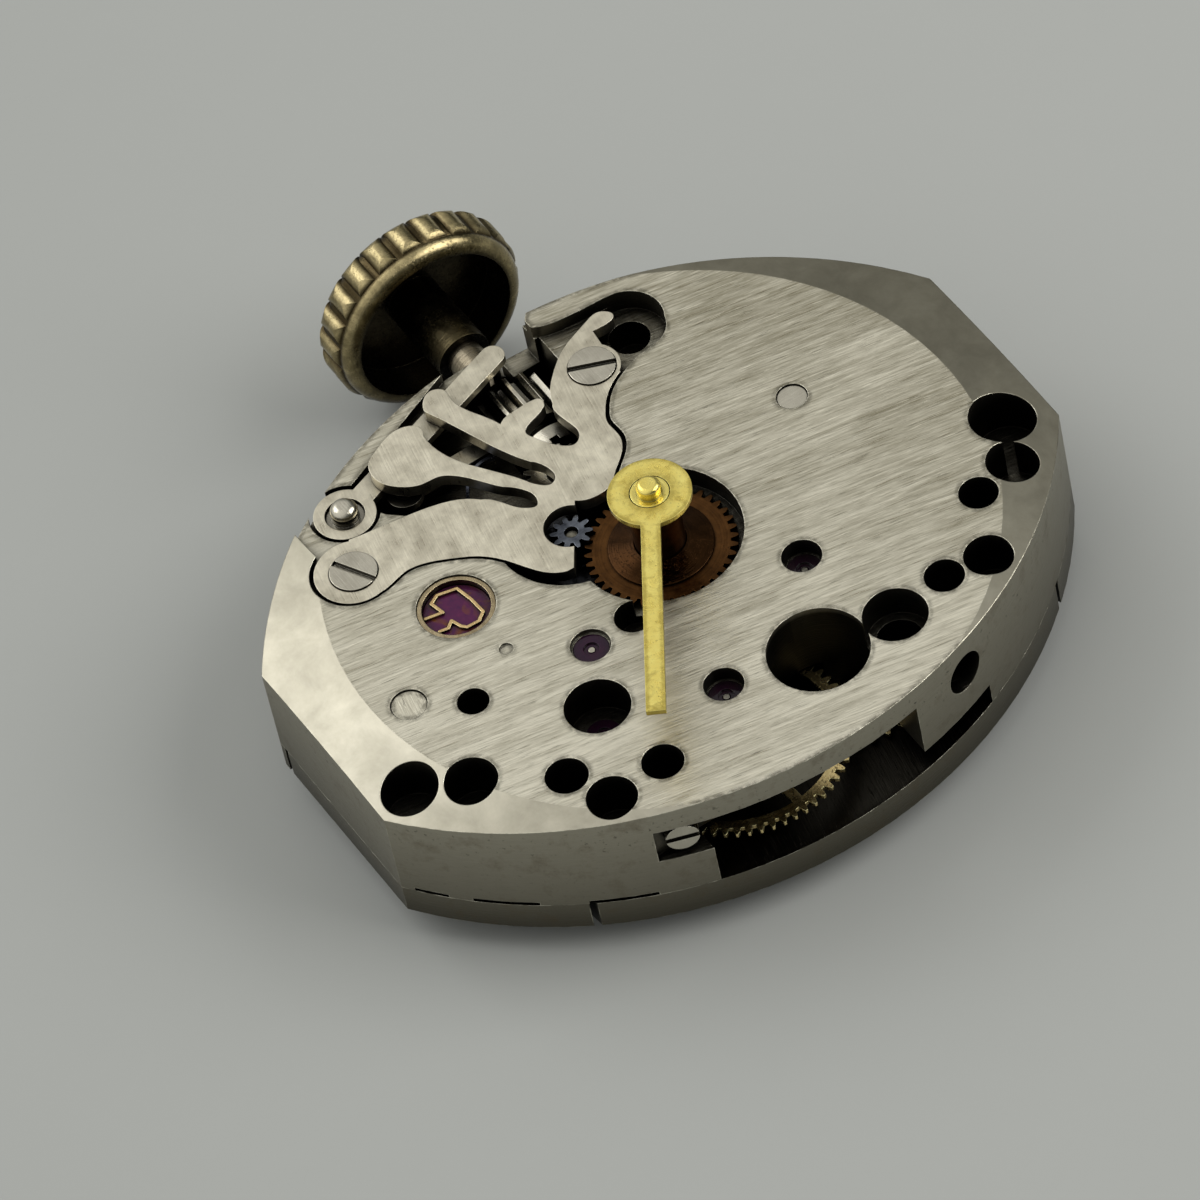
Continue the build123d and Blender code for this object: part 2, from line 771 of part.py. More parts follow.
def balance_cock():
    solid = outline(0, bridge_thickness) & cock_region()
    solid = solid - through(balance_at, balance_opening)
    root = polar(balance_at, balance_opening, bearing(balance_at, balance_screw_place))
    arm = bar(root, balance_at, cock_arm_width, cock_arm_low, cock_arm_high)
    lug_end = polar(balance_at, hairspring_outer + stud_radius * 2, stud_angle)
    arm = arm + bar(balance_at, lug_end, lug_width, cock_arm_low, cock_arm_high)
    opening = post(balance_at, balance_opening + fit_gap, 0, bridge_thickness)
    solid = solid + (arm & opening)
    solid = solid + post(balance_at, back_shock_radius + cock_shock_wall, cock_arm_low, cock_arm_high)
    solid = solid - through(balance_at, back_shock_radius + fit_gap)
    solid = solid - post(stud_at, stud_radius + fit_gap, -overrun, cock_arm_high + overrun)
    solid = bridge_bore(solid, balance_screw_place)
    return solid - post(
        steady_places[2], steady_radius + fit_gap, bridge_thickness / 2, bridge_thickness + overrun)


# The hairspring: half turns of a flat band, from the collet out to the stud
hairspring_start = collet_radius + turning_gap + hairspring_band / 2
hairspring_halves = hairspring_turns * 2 - 1
hairspring_pitch = (hairspring_outer - hairspring_start) * 2 / (hairspring_halves - 1)
hairspring_turn = stud_angle + 180
stud_at = spiral_end(balance_at, hairspring_start, hairspring_pitch, hairspring_halves, hairspring_turn)

# The mainspring fills the drum in the same way
mainspring_start = arbor_core_radius + turning_gap + mainspring_band / 2
mainspring_halves = mainspring_turns * 2
mainspring_outer = drum_radius - drum_wall - running_gap - mainspring_band / 2
mainspring_pitch = (mainspring_outer - mainspring_start) * 2 / mainspring_halves
print("least gap between turns, hairspring", round(hairspring_pitch - hairspring_band, 3))
print("least gap between turns, mainspring", round(mainspring_pitch - mainspring_band, 3))


# The two pallet stones stand a sixth of a turn apart round the escape wheel
escape_line = bearing(escape_at, pallet_at)
fork_line = bearing(pallet_at, balance_at)
stone_reach = escape_tip + stone_clearance + stone_length / 2
stone_places = [(polar(escape_at, stone_reach, escape_line + side * stone_span_angle),
                 escape_line + side * stone_span_angle) for side in (-1, 1)]
stone_pads = [polar(place, stone_length / 2, angle) for place, angle in stone_places]


def main_plate():
    plate = outline(bridge_thickness, seat_z)
    reach = hypot(half_width, flat_distance)
    seat_radius = flat_distance - bevel_width
    drop = bevel_drop * (reach - seat_radius) / bevel_width
    bevel = Pos(0, 0, seat_z - drop) * Cone(
        reach, seat_radius, drop, align=(Align.CENTER, Align.CENTER, Align.MIN))
    plate = plate & (post(centre_at, reach, 0, seat_z - drop) + bevel)
    plate = plate - train_pockets()
    plate = plate - side_windows()
    plate = plate - dial_side_recesses()
    plate = plate + post(setting_at, setting_post_radius, recess_floor, motion_top)
    plate = plate + post(minute_at, minute_post_radius, recess_floor, shelf_z)
    plate = plate + post(yoke_at, yoke_pin_radius, recess_floor, yoke_z + yoke_thickness)
    plate = plate - stem_room()
    plate = plate - bores()
    return plate


def train_pockets():
    # everything for the train is open to the back
    low = -overrun
    cuts = [
        post(barrel_at, barrel_tip + pocket_gap, low, barrel_top + running_gap),
        post(centre_at, centre_tip + pocket_gap, low, train_ceiling),
        post(third_at, third_tip + pocket_gap, low, barrel_z),
        post(third_at, tip(centre_module, third_leaves) + pocket_gap, low, train_ceiling),
        post(fourth_at, fourth_tip + pocket_gap, low, fourth_z + wheel_thickness + part_gap),
        post(escape_at, escape_opening, low, fork_ceiling),
        post(balance_at, balance_opening, low, cock_z),
        post(balance_at, roller_radius + pocket_gap * 2, low, fork_ceiling),
        post(pallet_at, escape_opening / 2, low, fork_ceiling),
        bar(pallet_at, balance_at, fork_head_width + fork_swing_room * 2, low, fork_ceiling),
        bar(pallet_at, escape_at, escape_tip * 1.3, low, fork_ceiling),
        *[post(pad, fork_arm_width * 2, low, fork_ceiling) for pad in stone_pads],
        bar(pallet_at, pallet_cock_foot, cock_width + part_gap, low, cock_top),
        bar(centre_at, centre_cock_foot, cock_width + part_gap, low, cock_top),
    ]
    return cuts


def side_windows():
    out = -half_width - overrun
    low = -overrun
    notch_face = polar(foot_left, foot_screw_reach - fit_gap, foot_left_angle)[0] + foot_screw_radius
    notch_low, notch_high = foot_left[1] * 0.95, foot_left[1] * 1.31
    return [
        block(out, -window_deep, window_low, window_step, low, web_z),
        block(out, -window_shallow, window_step - overrun, window_high, low, web_z),
        block(out, -window_deep, slot_low, window_low + overrun, low, bridge_thickness + slot_rise),
        block(out, notch_face, notch_low, notch_high, foot_screw_z - foot_notch_half, web_z),
    ] + edge_slots()


def edge_slots():
    cuts = []
    for ends in edge_slot_shares:
        a, b = planwise(ends)
        middle = ((a[0] + b[0]) / 2, (a[1] + b[1]) / 2)
        cuts.append(slab(middle, bearing(a, b), between(a, b), edge_slot_depth * 2,
                         bridge_thickness - overrun, bridge_thickness + edge_slot_height))
    return cuts


def dial_side_recesses():
    top = seat_z + overrun
    inner = sideways(keyless(inner_edge_shares), part_gap)
    lower = sideways(keyless(lower_edge_shares), part_gap)
    horn = keyless(horn_shares)
    corners = [horn[-1], (far, horn[-1][1]), (far, inner[0][1])]
    runs = [inner, [inner[-1], centre_at], lower, horn] + [[a, b] for a, b in zip(corners, corners[1:])]
    pocket = keyless(pocket_shares)
    nose_pulled = (nose_at[0] + stem_travel, nose_at[1])
    return [
        contour(linked(runs), shelf_z, top),
        post(cover_screw_top, cover_eye + part_gap, shelf_z, top),
        post(centre_at, hour_recess_radius, hour_z - motion_gap, top),
        post(centre_at, tip(cannon_module, cannon_teeth) + pocket_gap, recess_floor, top),
        post(minute_at, minute_tip + pocket_gap, recess_floor, top),
        post(setting_at, setting_tip + pocket_gap, recess_floor, shelf_z + fit_gap),
        prism(pocket, recess_floor, shelf_z + fit_gap),
        post(lever_at, lever_eye + part_gap, lever_floor, top),
        bar(lever_at, nose_at, lever_width + part_gap, lever_floor, shelf_z + fit_gap),
        bar(lever_at, nose_pulled, lever_width + part_gap, lever_floor, shelf_z + fit_gap),
        post(foot_right, foot_lobe_radius, seat_z - foot_lobe_depth, top),
    ]


def stem_room():
    room = winding_radius + pocket_gap
    small = stem_pilot_radius + turning_gap
    nose_room = lever_nose_radius + stem_travel / 2
    return [
        block(clutch_room_start, stem_wall_x, -room, room, -overrun, shelf_z + fit_gap),
        turned_x([(small, stem_start - part_gap, clutch_room_start + overrun)]),
        turned_x([(stem_radius + turning_gap, stem_wall_x - overrun, half_width + overrun)]),
        block(nose_at[0] - stem_groove_width, half_width + overrun, -nose_room, nose_room,
              stem_height, shelf_z + fit_gap),
        block(stem_cut_start, half_width + overrun, stem_cut_low, stem_cut_high,
              stem_cut_floor, seat_z + overrun),
    ]


def bores():
    top = seat_z + overrun
    low = -overrun
    cuts = []
    for at, sight, face in plate_jewels:
        cuts.append(post(at, sight, face, top))
        cuts.append(post(at, jewel_radius + fit_gap, face - jewel_height, top))
        cuts.append(post(at, arbor_room, low, top))
    cuts.append(post(centre_at, centre_arbor_radius + turning_gap, low, top))
    cuts.append(post(barrel_at, arbor_dial_radius + turning_gap, low, top))
    cuts.append(post(balance_at, shock_radius + fit_gap, seat_z - cover_sink - shock_height, top))
    cuts.append(post(balance_at, staff_radius + part_gap, low, top))
    for at, radius, depth in sight_holes:
        cuts.append(post(at, radius, seat_z - depth, top))
    tapped = seat_z - bridge_thickness
    for at in barrel_screw_places[:1] + train_screw_places + (balance_screw_place,):
        cuts.append(post(at, bridge_shank_radius + fit_gap, low, tapped))
    for at in barrel_screw_places[1:]:
        end = back_sink + bridge_head_height + bridge_shank_length + bridge_shank_radius + part_gap
        cuts.append(post(at, bridge_shank_radius + fit_gap, low, end))
    for at in steady_places:
        cuts.append(post(at, steady_radius + fit_gap, low, bridge_thickness + steady_length))
    cuts.append(post(plug_at, plug_radius, cover_top - bridge_thickness, top))
    for at in (foot_left, foot_right):
        cuts.append(post(at, dial_foot_radius, seat_z - dial_foot_depth, top))
    for at, angle in foot_screw_lines:
        cuts.append(level_rod(polar(at, foot_screw_reach - foot_screw_length, angle), foot_screw_z, angle,
                              foot_screw_radius + turning_gap, foot_screw_length + overrun))
    cuts.append(level_rod(polar(side_hole_at, overrun, side_hole_angle + 180), side_hole_z, side_hole_angle,
                          side_hole_radius, side_hole_depth + overrun))
    for at in (cover_screw_top, cover_screw_low):
        end = cover_top + cover_sink - cover_head_height - cover_shank_length - cover_shank_radius
        cuts.append(post(at, cover_shank_radius + fit_gap, end - part_gap, top))
    cuts.append(post(lever_at, lever_shank_radius + fit_gap, lever_floor - lever_shank_length, top))
    for at in (pallet_cock_foot, centre_cock_foot):
        cuts.append(post(at, cock_shank_radius + fit_gap, low, cock_top + cock_shank_length))
    return cuts


def level_rod(at, height, angle, radius, length):
    # a level cylinder that starts at a point and runs along angle
    return Pos(at[0], at[1], height) * Rot(0, 0, angle) * Rot(0, 90, 0) * Cylinder(
        radius, length, align=(Align.CENTER, Align.CENTER, Align.MIN))


def dial_screws():
    pieces = []
    for at, angle in foot_screw_lines:
        start = polar(at, foot_screw_reach - foot_screw_length, angle)
        rod = level_rod(start, foot_screw_z, angle, foot_screw_radius, foot_screw_length)
        face = polar(at, foot_screw_reach, angle)
        slot = Pos(face[0], face[1], foot_screw_z) * Rot(0, 0, angle) * Box(
            slot_depth * 2, foot_screw_radius * 2 + overrun, slot_width)
        pieces.append(rod - slot)
    return group(pieces)


def jewels(places, radius, bore):
    # pierced jewels, each with a shallow oil cup on its outer face
    pieces = []
    for at, low, high, cup in places:
        stone = ring(at, radius, bore, low, high)
        pieces.append(stone - post(at, oil_cup_radius, cup - oil_cup_depth, cup + oil_cup_depth))
    return group(pieces)


def plate_jewel_set():
    places = [(at, face - jewel_height, face, face) for at, sight, face in plate_jewels]
    return jewels(places, jewel_radius, pivot_radius + turning_gap)


def bridge_jewel_set():
    places = [(at, back_jewel_low, back_jewel_top, back_jewel_low) for at in back_jewels]
    return jewels(places, back_jewel_radius, pivot_radius + turning_gap)


def steady_pins():
    low, high = bridge_thickness / 2, bridge_thickness + steady_length
    pieces = [post(at, steady_radius, low, high) for at in steady_places]
    pieces.append(post(plug_at, plug_radius - turning_gap, cover_top - bridge_thickness, cover_top))
    return group(pieces)


def bridge_screws():
    places = barrel_screw_places + train_screw_places + (balance_screw_place,)
    pieces = []
    for k, at in enumerate(places):
        pieces.append(screw(at, back_sink, bridge_head_radius, bridge_head_height, bridge_shank_radius,
                            bridge_shank_length, 25 + k * 40, side=-1))
    return group(pieces)


def cock(at, foot, bore):
    # a small bridge inside the movement, with one screw in its foot
    solid = bar(at, foot, cock_width, cock_z, cock_top)
    solid = solid - post(foot, cock_head_radius + turning_gap, cock_z - overrun, cock_z + cock_head_height)
    solid = solid - post(foot, cock_shank_radius + turning_gap, cock_z - overrun, cock_top + overrun)
    return solid - post(at, bore, cock_z - overrun, cock_top + overrun)


def cock_screws():
    pieces = []
    for at in (pallet_cock_foot, centre_cock_foot):
        pieces.append(screw(at, cock_z, cock_head_radius, cock_head_height, cock_shank_radius,
                            cock_shank_length - cock_shank_radius, 30, side=-1))
    return group(pieces)


def barrel_drum():
    floor = barrel_top - drum_floor
    solid = post(barrel_at, drum_radius, barrel_z, barrel_top)
    solid = solid + toothed(barrel_at, barrel_teeth, barrel_module, barrel_top - barrel_tooth_height,
                            barrel_top, bearing(barrel_at, centre_at))
    solid = solid - post(barrel_at, drum_radius - drum_wall, barrel_z - overrun, floor)
    return solid - through(barrel_at, arbor_dial_radius + turning_gap)


def barrel_cover():
    lid = ring(barrel_at, drum_radius - drum_wall - fit_gap, arbor_back_radius + turning_gap,
               barrel_z, barrel_z + drum_floor)
    return lid


def barrel_arbor():
    core_low, core_high = barrel_z + drum_floor + turning_gap, barrel_top - drum_floor - turning_gap
    solid = turned(barrel_at, [
        (arbor_core_radius, core_low, core_high),
        (arbor_dial_radius, core_high, cover_top),
        (arbor_back_radius, winding_wheel_top + fit_gap, core_low)])
    square = slab(barrel_at, 0, ratchet_square, ratchet_square, winding_wheel_z + wheel_head_height,
                  winding_wheel_top + fit_gap * 2)
    return solid + square - post(barrel_at, click_shank_radius, -overrun, barrel_z)


def mainspring():
    low = barrel_z + drum_floor + running_gap
    high = barrel_top - drum_floor - running_gap
    return spiral(
        barrel_at, mainspring_start, mainspring_pitch, mainspring_halves, mainspring_band, low, high, 0)


def train_wheel(at, teeth, module, z, bore, hub, spokes, toward, turn):
    wheel = toothed(at, teeth, module, z, z + wheel_thickness, bearing(at, toward))
    rim = module * teeth / 2 - module * rim_share
    wheel = spoked(wheel, at, spokes, hub, rim, module * spoke_share, z, z + wheel_thickness, turn)
    return wheel - post(at, bore, z - overrun, z + wheel_thickness + overrun)


rim_share = 3.6
spoke_share = 3.0


def pinion(at, leaves, module, leaf_low, leaf_high, radius, toward, low_end, low_shoulder,
           high_shoulder, high_end):
    # leaves on an arbor: the mating tooth points here, so a gap between leaves faces it
    phase = bearing(at, toward) + 180 / leaves
    solid = toothed(at, leaves, module, leaf_low, leaf_high, phase)
    return solid + turned(at, [(radius, low_shoulder, high_shoulder), (pivot_radius, low_end, high_end)])


def high_jewel(place):
    # the two heights of the arbor's end under its jewel in the plate
    face = plate_jewels[place][2]
    return face - jewel_height - turning_gap, face - turning_gap * 2


low_jewel = (back_jewel_low + turning_gap * 2, back_jewel_top + turning_gap)


def centre_pinion():
    low = cock_top + turning_gap
    leaf_low = barrel_top - barrel_tooth_height - running_gap
    solid = toothed(centre_at, centre_leaves, barrel_module, leaf_low, barrel_top + turning_gap,
                    bearing(centre_at, barrel_at) + 180 / centre_leaves)
    return solid + turned(centre_at, [
        (centre_arbor_radius, low, recess_floor),
        (pivot_radius * 2, cock_z + turning_gap, low),
        (cannon_arbor_radius, recess_floor, recess_floor + cannon_bore_depth - part_gap)])


def third_pinion():
    return pinion(third_at, third_leaves, centre_module, barrel_top + turning_gap, train_ceiling - turning_gap,
                  arbor_radius, centre_at, *low_jewel, *high_jewel(0))


def fourth_pinion():
    return pinion(fourth_at, fourth_leaves, third_module, third_z - turning_gap,
                  fourth_z - part_gap, arbor_radius, third_at, *low_jewel, *high_jewel(1))


def escape_pinion():
    return pinion(escape_at, escape_leaves, fourth_module, fourth_z - part_gap, fork_z - running_gap,
                  arbor_radius, fourth_at, *low_jewel, *high_jewel(2))


def escape_wheel():
    low, high = fork_z, fork_z + fork_thickness
    step = 360 / escape_teeth
    tooth_shares = ((-0.16, 1.0), (-0.04, 1.0), (0.06, 0.80), (0.44, 0.72), (0.70, 0.74))
    phase = bearing(escape_at, pallet_at) + step / 2
    points = []
    for tooth in range(escape_teeth):
        for turn_share, radius_share in tooth_shares:
            points.append(polar(escape_at, escape_tip * radius_share, phase + (tooth + turn_share) * step))
    wheel = prism(points, low, high)
    wheel = spoked(wheel, escape_at, 4, arbor_radius * 2, escape_tip * escape_rim_share, arbor_radius,
                   low, high, escape_spoke_angle)
    return wheel - post(escape_at, arbor_radius + fit_gap, low - overrun, high + overrun)


def pallet_fork():
    low, high = fork_z, fork_z + fork_thickness
    reach = between(pallet_at, balance_at) - impulse_orbit
    head = polar(pallet_at, reach - fork_head_length / 4, fork_line)
    solid = bar(pallet_at, head, fork_arm_width, low, high) + post(pallet_at, fork_hub_radius, low, high)
    solid = solid + slab(head, fork_line, fork_head_length, fork_head_width, low, high)
    for (place, angle), pad in zip(stone_places, stone_pads):
        solid = solid + bar(pallet_at, pad, fork_arm_width, low, high)
        solid = solid + slab(pad, angle, stone_length, stone_width + fork_arm_width * 1.3, low, high)
    slot = impulse_radius * 2 + running_gap
    solid = solid - slab(polar(pallet_at, reach + fork_head_length / 2, fork_line), fork_line,
                         fork_head_length + slot, slot, low - overrun, high + overrun)
    for place, angle in stone_places:
        solid = solid - slab(place, angle, stone_length + fit_gap * 2, stone_width + fit_gap * 2,
                             low - overrun, high + overrun)
    # nothing of it reaches the escape wheel
    solid = solid - post(escape_at, escape_tip + stone_clearance * 2, low - overrun, high + overrun)
    return solid - post(pallet_at, pallet_arbor_radius + fit_gap, low - overrun, high + overrun)


def pallet_stones():
    return group([slab(place, angle, stone_length, stone_width, stone_z, stone_z + stone_height)
                  for place, angle in stone_places])


def pallet_arbor():
    shoulder, end = high_jewel(3)
    return turned(pallet_at, [
        (pallet_arbor_radius, cock_top + turning_gap, shoulder),
        (pivot_radius, cock_z + turning_gap, end)])


def balance_wheel():
    low, high = balance_z, balance_z + balance_rim_height
    solid = ring(balance_at, balance_radius, balance_radius - balance_rim_width, low, high)
    arms = post(balance_at, balance_hub_radius, low, low + balance_arm_height)
    inner = balance_radius - balance_rim_width / 2
    for k in range(3):
        angle = fork_line + 30 + k * 120
        arms = arms + slab(polar(balance_at, inner / 2, angle), angle, inner, balance_arm_width,
                           low, low + balance_arm_height)
    return solid + arms - post(balance_at, staff_radius + fit_gap, low - overrun, high + overrun)


back_shock_low = back_sink + cover_sink
back_shock_top = back_shock_low + back_shock_height
shock_top = seat_z - cover_sink
shock_low = shock_top - shock_height


def balance_staff():
    low = back_shock_top + turning_gap
    high = shock_low - turning_gap
    thin_low = back_shock_top - back_shock_height * shock_wall_share - running_gap
    thin_high = shock_low + shock_height * shock_wall_share + running_gap
    solid = turned(balance_at, [(staff_radius, low, high), (staff_pivot_radius, thin_low, thin_high)])
    return solid


def roller():
    low, high = roller_z, roller_z + roller_height
    solid = ring(balance_at, roller_radius, staff_radius + fit_gap, low, high)
    return solid - post(impulse_at, impulse_radius + fit_gap, low - overrun, high + overrun)


impulse_at = polar(balance_at, impulse_orbit, bearing(balance_at, pallet_at))


def impulse_jewel():
    return post(impulse_at, impulse_radius, roller_z, roller_z + impulse_length)


def hairspring():
    return spiral(balance_at, hairspring_start, hairspring_pitch, hairspring_halves, hairspring_band,
                  hairspring_z, hairspring_z + hairspring_height, hairspring_turn)


def hairspring_collet():
    return ring(balance_at, collet_radius, staff_radius + fit_gap, hairspring_z - turning_gap,
                hairspring_z + hairspring_height + turning_gap)


def hairspring_stud():
    return post(stud_at, stud_radius, cock_arm_low - running_gap, hairspring_z + hairspring_height)


def regulator():
    low, high = winding_wheel_z + running_gap / 2, winding_wheel_z + running_gap / 2 + regulator_height
    inner = back_shock_radius + turning_gap
    solid = post(balance_at, inner + regulator_ring, low, high)
    tail = polar(balance_at, regulator_tail, regulator_angle + 180)
    pins = polar(balance_at, hairspring_outer, regulator_angle)
    solid = solid + bar(balance_at, tail, regulator_tail_width, low, high)
    solid = solid + bar(balance_at, pins, regulator_tail_width * 2, low, high)
    # the two pins stand on either side of the outer turn
    spread = curb_pin_radius + hairspring_band + turning_gap
    outer = hairspring_outer - curb_share * hairspring_pitch
    for side in (-1, 1):
        at = polar(balance_at, outer + side * spread, regulator_angle)
        solid = solid + post(at, curb_pin_radius, low, hairspring_z + hairspring_height)
    return solid - through(balance_at, inner)


curb_share = 0.25


def shock_block(radius, low, high, outward):
    # a setting with a seat for its cap jewel: outward is the height of its open face
    share = shock_wall_share
    inward = high if outward == low else low
    floor = inward + (outward - inward) * share
    solid = post(balance_at, radius, low, high)
    solid = solid - post(balance_at, radius * cap_room_share, min(floor, outward + (outward - inward)),
                         max(floor, outward + (outward - inward)))
    return solid - post(balance_at, staff_pivot_radius + turning_gap, low - overrun, high + overrun)


def shock_settings():
    return group([shock_block(shock_radius, shock_low, shock_top, shock_top),
                  shock_block(back_shock_radius, back_shock_low, back_shock_top, back_shock_low)])


def cap_jewels():
    dial_floor = shock_low + shock_height * shock_wall_share + part_gap
    back_floor = back_shock_top - back_shock_height * shock_wall_share - part_gap
    return group([
        post(balance_at, shock_radius * cap_room_share - fit_gap, dial_floor, dial_floor + cap_jewel_height),
        post(balance_at, back_shock_radius * cap_room_share - fit_gap, back_floor - cap_jewel_height, back_floor)])


def shock_spring(radius, low, high):
    # a lyre: a flat band that presses on the cap jewel with two hooks and opens to 12 o'clock
    places = [(balance_at[0] + x * radius, balance_at[1] + y * radius) for x, y in lyre_shares]
    solid = None
    for a, b in zip(places, places[1:]):
        piece = bar(a, b, shock_spring_width, low, high)
        solid = piece if solid is None else solid + piece
    return solid


def shock_springs():
    dial_low = shock_low + shock_height * shock_wall_share + part_gap + cap_jewel_height
    back_high = back_shock_top - back_shock_height * shock_wall_share - part_gap - cap_jewel_height
    return group([
        shock_spring(shock_radius, dial_low + fit_gap, dial_low + fit_gap + shock_spring_height),
        shock_spring(back_shock_radius, back_high - fit_gap - shock_spring_height, back_high - fit_gap)])


def cannon_pinion():
    leaf_top = motion_top + turning_gap
    phase = bearing(centre_at, minute_at) + 180 / cannon_teeth
    solid = toothed(centre_at, cannon_teeth, cannon_module, recess_floor + turning_gap, leaf_top, phase)
    solid = solid + post(centre_at, cannon_tube_radius, leaf_top, shoulder_z)
    seat = post(centre_at, cannon_seat_radius, leaf_top, seat_z + cannon_tip_rise)
    solid = solid + fillet(seat.faces().sort_by(Axis.Z)[-1].edges(), cannon_tip_round)
    return solid - post(
        centre_at, cannon_arbor_radius + turning_gap, -overrun, recess_floor + cannon_bore_depth)


def hour_wheel():
    solid = toothed(centre_at, hour_teeth, hour_module, hour_z, hour_z + hour_wheel_height,
                    bearing(centre_at, minute_at))
    solid = solid + post(centre_at, hour_pipe_radius, hour_z, hand_z + hand_thickness - hand_web - fit_gap)
    return solid - post(centre_at, cannon_tube_radius + turning_gap, hour_z - overrun, hand_z + overrun)


def dial_washer():
    # a thin dished ring that lies on the hour wheel and rises towards the pipe
    low = hour_z + hour_wheel_height
    inner = hour_pipe_radius + turning_gap
    corners = [(inner, low + washer_dish), (washer_radius, low), (washer_radius, low + washer_thickness),
               (inner, low + washer_dish + washer_thickness)]
    return revolve(Plane.XZ * make_face(Polyline(*corners, close=True)), axis=Axis.Z)


def hour_hand():
    low, high = hand_z, hand_z + hand_thickness
    blade_end = polar(centre_at, hand_length / 2, hand_angle)
    solid = post(centre_at, hand_disc_radius, low, high)
    solid = solid + slab(blade_end, hand_angle, hand_length, hand_width, low, high)
    solid = solid - post(centre_at, hour_pipe_radius + fit_gap, low - overrun, high - hand_web)
    return solid - post(centre_at, cannon_tube_radius + turning_gap, low - overrun, high + overrun)


def minute_wheel():
    solid = toothed(
        minute_at, minute_teeth, cannon_module, motion_z, motion_top, bearing(minute_at, centre_at))
    phase = bearing(minute_at, centre_at) + 180 / minute_leaves
    solid = solid + toothed(
        minute_at, minute_leaves, hour_module, motion_z, shelf_z + cover_thickness / 3, phase)
    return solid - through(minute_at, minute_post_radius + turning_gap)


def setting_wheel():
    # the tooth of the minute wheel that faces this wheel sets its phase
    step = 360 / minute_teeth
    there = bearing(minute_at, setting_at)
    offset = ((there - bearing(minute_at, centre_at)) / step) % 1
    phase = bearing(setting_at, minute_at) + (0.5 + offset) * 360 / setting_teeth
    solid = toothed(setting_at, setting_teeth, cannon_module, motion_z, motion_top, phase)
    return solid - through(setting_at, setting_post_radius + turning_gap)


def keyless_cover():
    low, high = shelf_z, cover_top
    inner = keyless(inner_edge_shares)
    corner = keyless(corner_shares)
    runs = [inner, [inner[-1], corner[0]], corner]
    for shares in (notch_edge_shares, lower_edge_shares, tail_shares, opening_shares, finger_shares,
                   arm_low_shares, arm_end_shares, arm_top_shares, slot_shares, detent_low_shares,
                   detent_end_shares, gap_shares, outer_edge_shares):
        runs.append(keyless(shares))
    cover = contour(linked(runs), low, high)
    cover = cover + post(cover_screw_top, cover_eye, low, high)
    cover = cover + post(cover_screw_low, cover_low_eye, low, high)
    cover = cover - through(minute_at, tip(hour_module, minute_leaves) + part_gap)
    for place in (cover_screw_top, cover_screw_low):
        cover = cover - through(place, cover_shank_radius + turning_gap)
        cover = cover - post(
            place, cover_head_radius + turning_gap, seat_z - cover_head_height, seat_z + overrun)
    return cover


def cover_screws():
    pieces = []
    for place, angle in ((cover_screw_top, 27), (cover_screw_low, 65)):
        pieces.append(screw(place, seat_z, cover_head_radius, cover_head_height, cover_shank_radius,
                            cover_shank_length, angle))
    return group(pieces)


def setting_lever():
    low, high = lever_z, lever_z + lever_thickness
    solid = post(lever_at, lever_eye, low, high) + bar(lever_at, nose_at, lever_width, low, high)
    pin_low = stem_height + stem_groove_radius + motion_gap
    solid = solid + post(nose_at, lever_nose_radius, pin_low, high)
    return solid - through(lever_at, lever_flange_radius + turning_gap)


def setting_lever_post():
    low = lever_z - turning_gap
    solid = turned(lever_at, [
        (lever_flange_radius, low, low + lever_flange_height),
        (lever_shank_radius, lever_floor - lever_shank_length + part_gap, low),
        (lever_post_radius, low + lever_flange_height, seat_z - running_gap)])
    top = solid.faces().sort_by(Axis.Z)[-1].edges()
    return fillet(top, lever_post_radius * 0.6)


def yoke():
    low, high = yoke_z, yoke_z + yoke_thickness
    solid = post(yoke_at, yoke_eye, low, high) + bar(yoke_at, finger_at, yoke_width, low, high)
    solid = solid + slab(finger_at, 0, clutch_groove_width - running_gap * 2, yoke_finger_width,
                         high - yoke_finger_depth, high)
    return solid - through(yoke_at, yoke_pin_radius + turning_gap)


def yoke_spring():
    # a flat wire from its foot to the flank of the yoke
    low, high = yoke_z + turning_gap, yoke_z + yoke_thickness - turning_gap
    flank = yoke_at[0] - yoke_width / 2 - running_gap - spring_wire
    line = [spring_foot_at, (spring_foot_at[0] * 1.12, spring_foot_at[1] * 0.93),
            (flank - running_gap, spring_foot_at[1] * 0.74), (flank, spring_foot_at[1] * 0.53)]
    left, right = sideways(line, -spring_wire / 2), sideways(line, spring_wire / 2)
    wire = contour([left, [left[-1], right[-1]], right[::-1], [right[0], left[0]]], low, high)
    return wire + post(spring_foot_at, spring_foot_radius, recess_floor, high)


def stem():
    solid = turned_x([
        (stem_pilot_radius, stem_start, clutch_room_start + part_gap),
        (stem_neck_radius, winding_start - part_gap / 2, stem_wall_x),
        (stem_radius, stem_wall_x, groove_in),
        (stem_groove_radius, groove_in, groove_out),
        (stem_radius, groove_out, tube_start),
        (stem_thread_radius, tube_start, crown_start + crown_hollow_depth)])
    half = stem_square / 2
    square = block(clutch_room_start, winding_start, -half, half, stem_height - half, stem_height + half)
    return solid + square


groove_in = stem_groove_x - stem_groove_width / 2
groove_out = stem_groove_x + stem_groove_width / 2
tube_start = crown_start - crown_tube_reach


def rounded_profile(x0, x1, r0, r1, rounding):
    # the outer edge of a turned band, with both corners rounded: from (x0, r0) over r1 to x1
    turn = rounding * (1 - sqrt(0.5))
    a, b, c, d = (x0, r1 - rounding), (x0 + rounding, r1), (x1 - rounding, r1), (x1, r1 - rounding)
    return [Line((x0, r0), a), ThreePointArc(a, (x0 + turn, r1 - turn), b), Line(b, c),
            ThreePointArc(c, (x1 - turn, r1 - turn), d)]


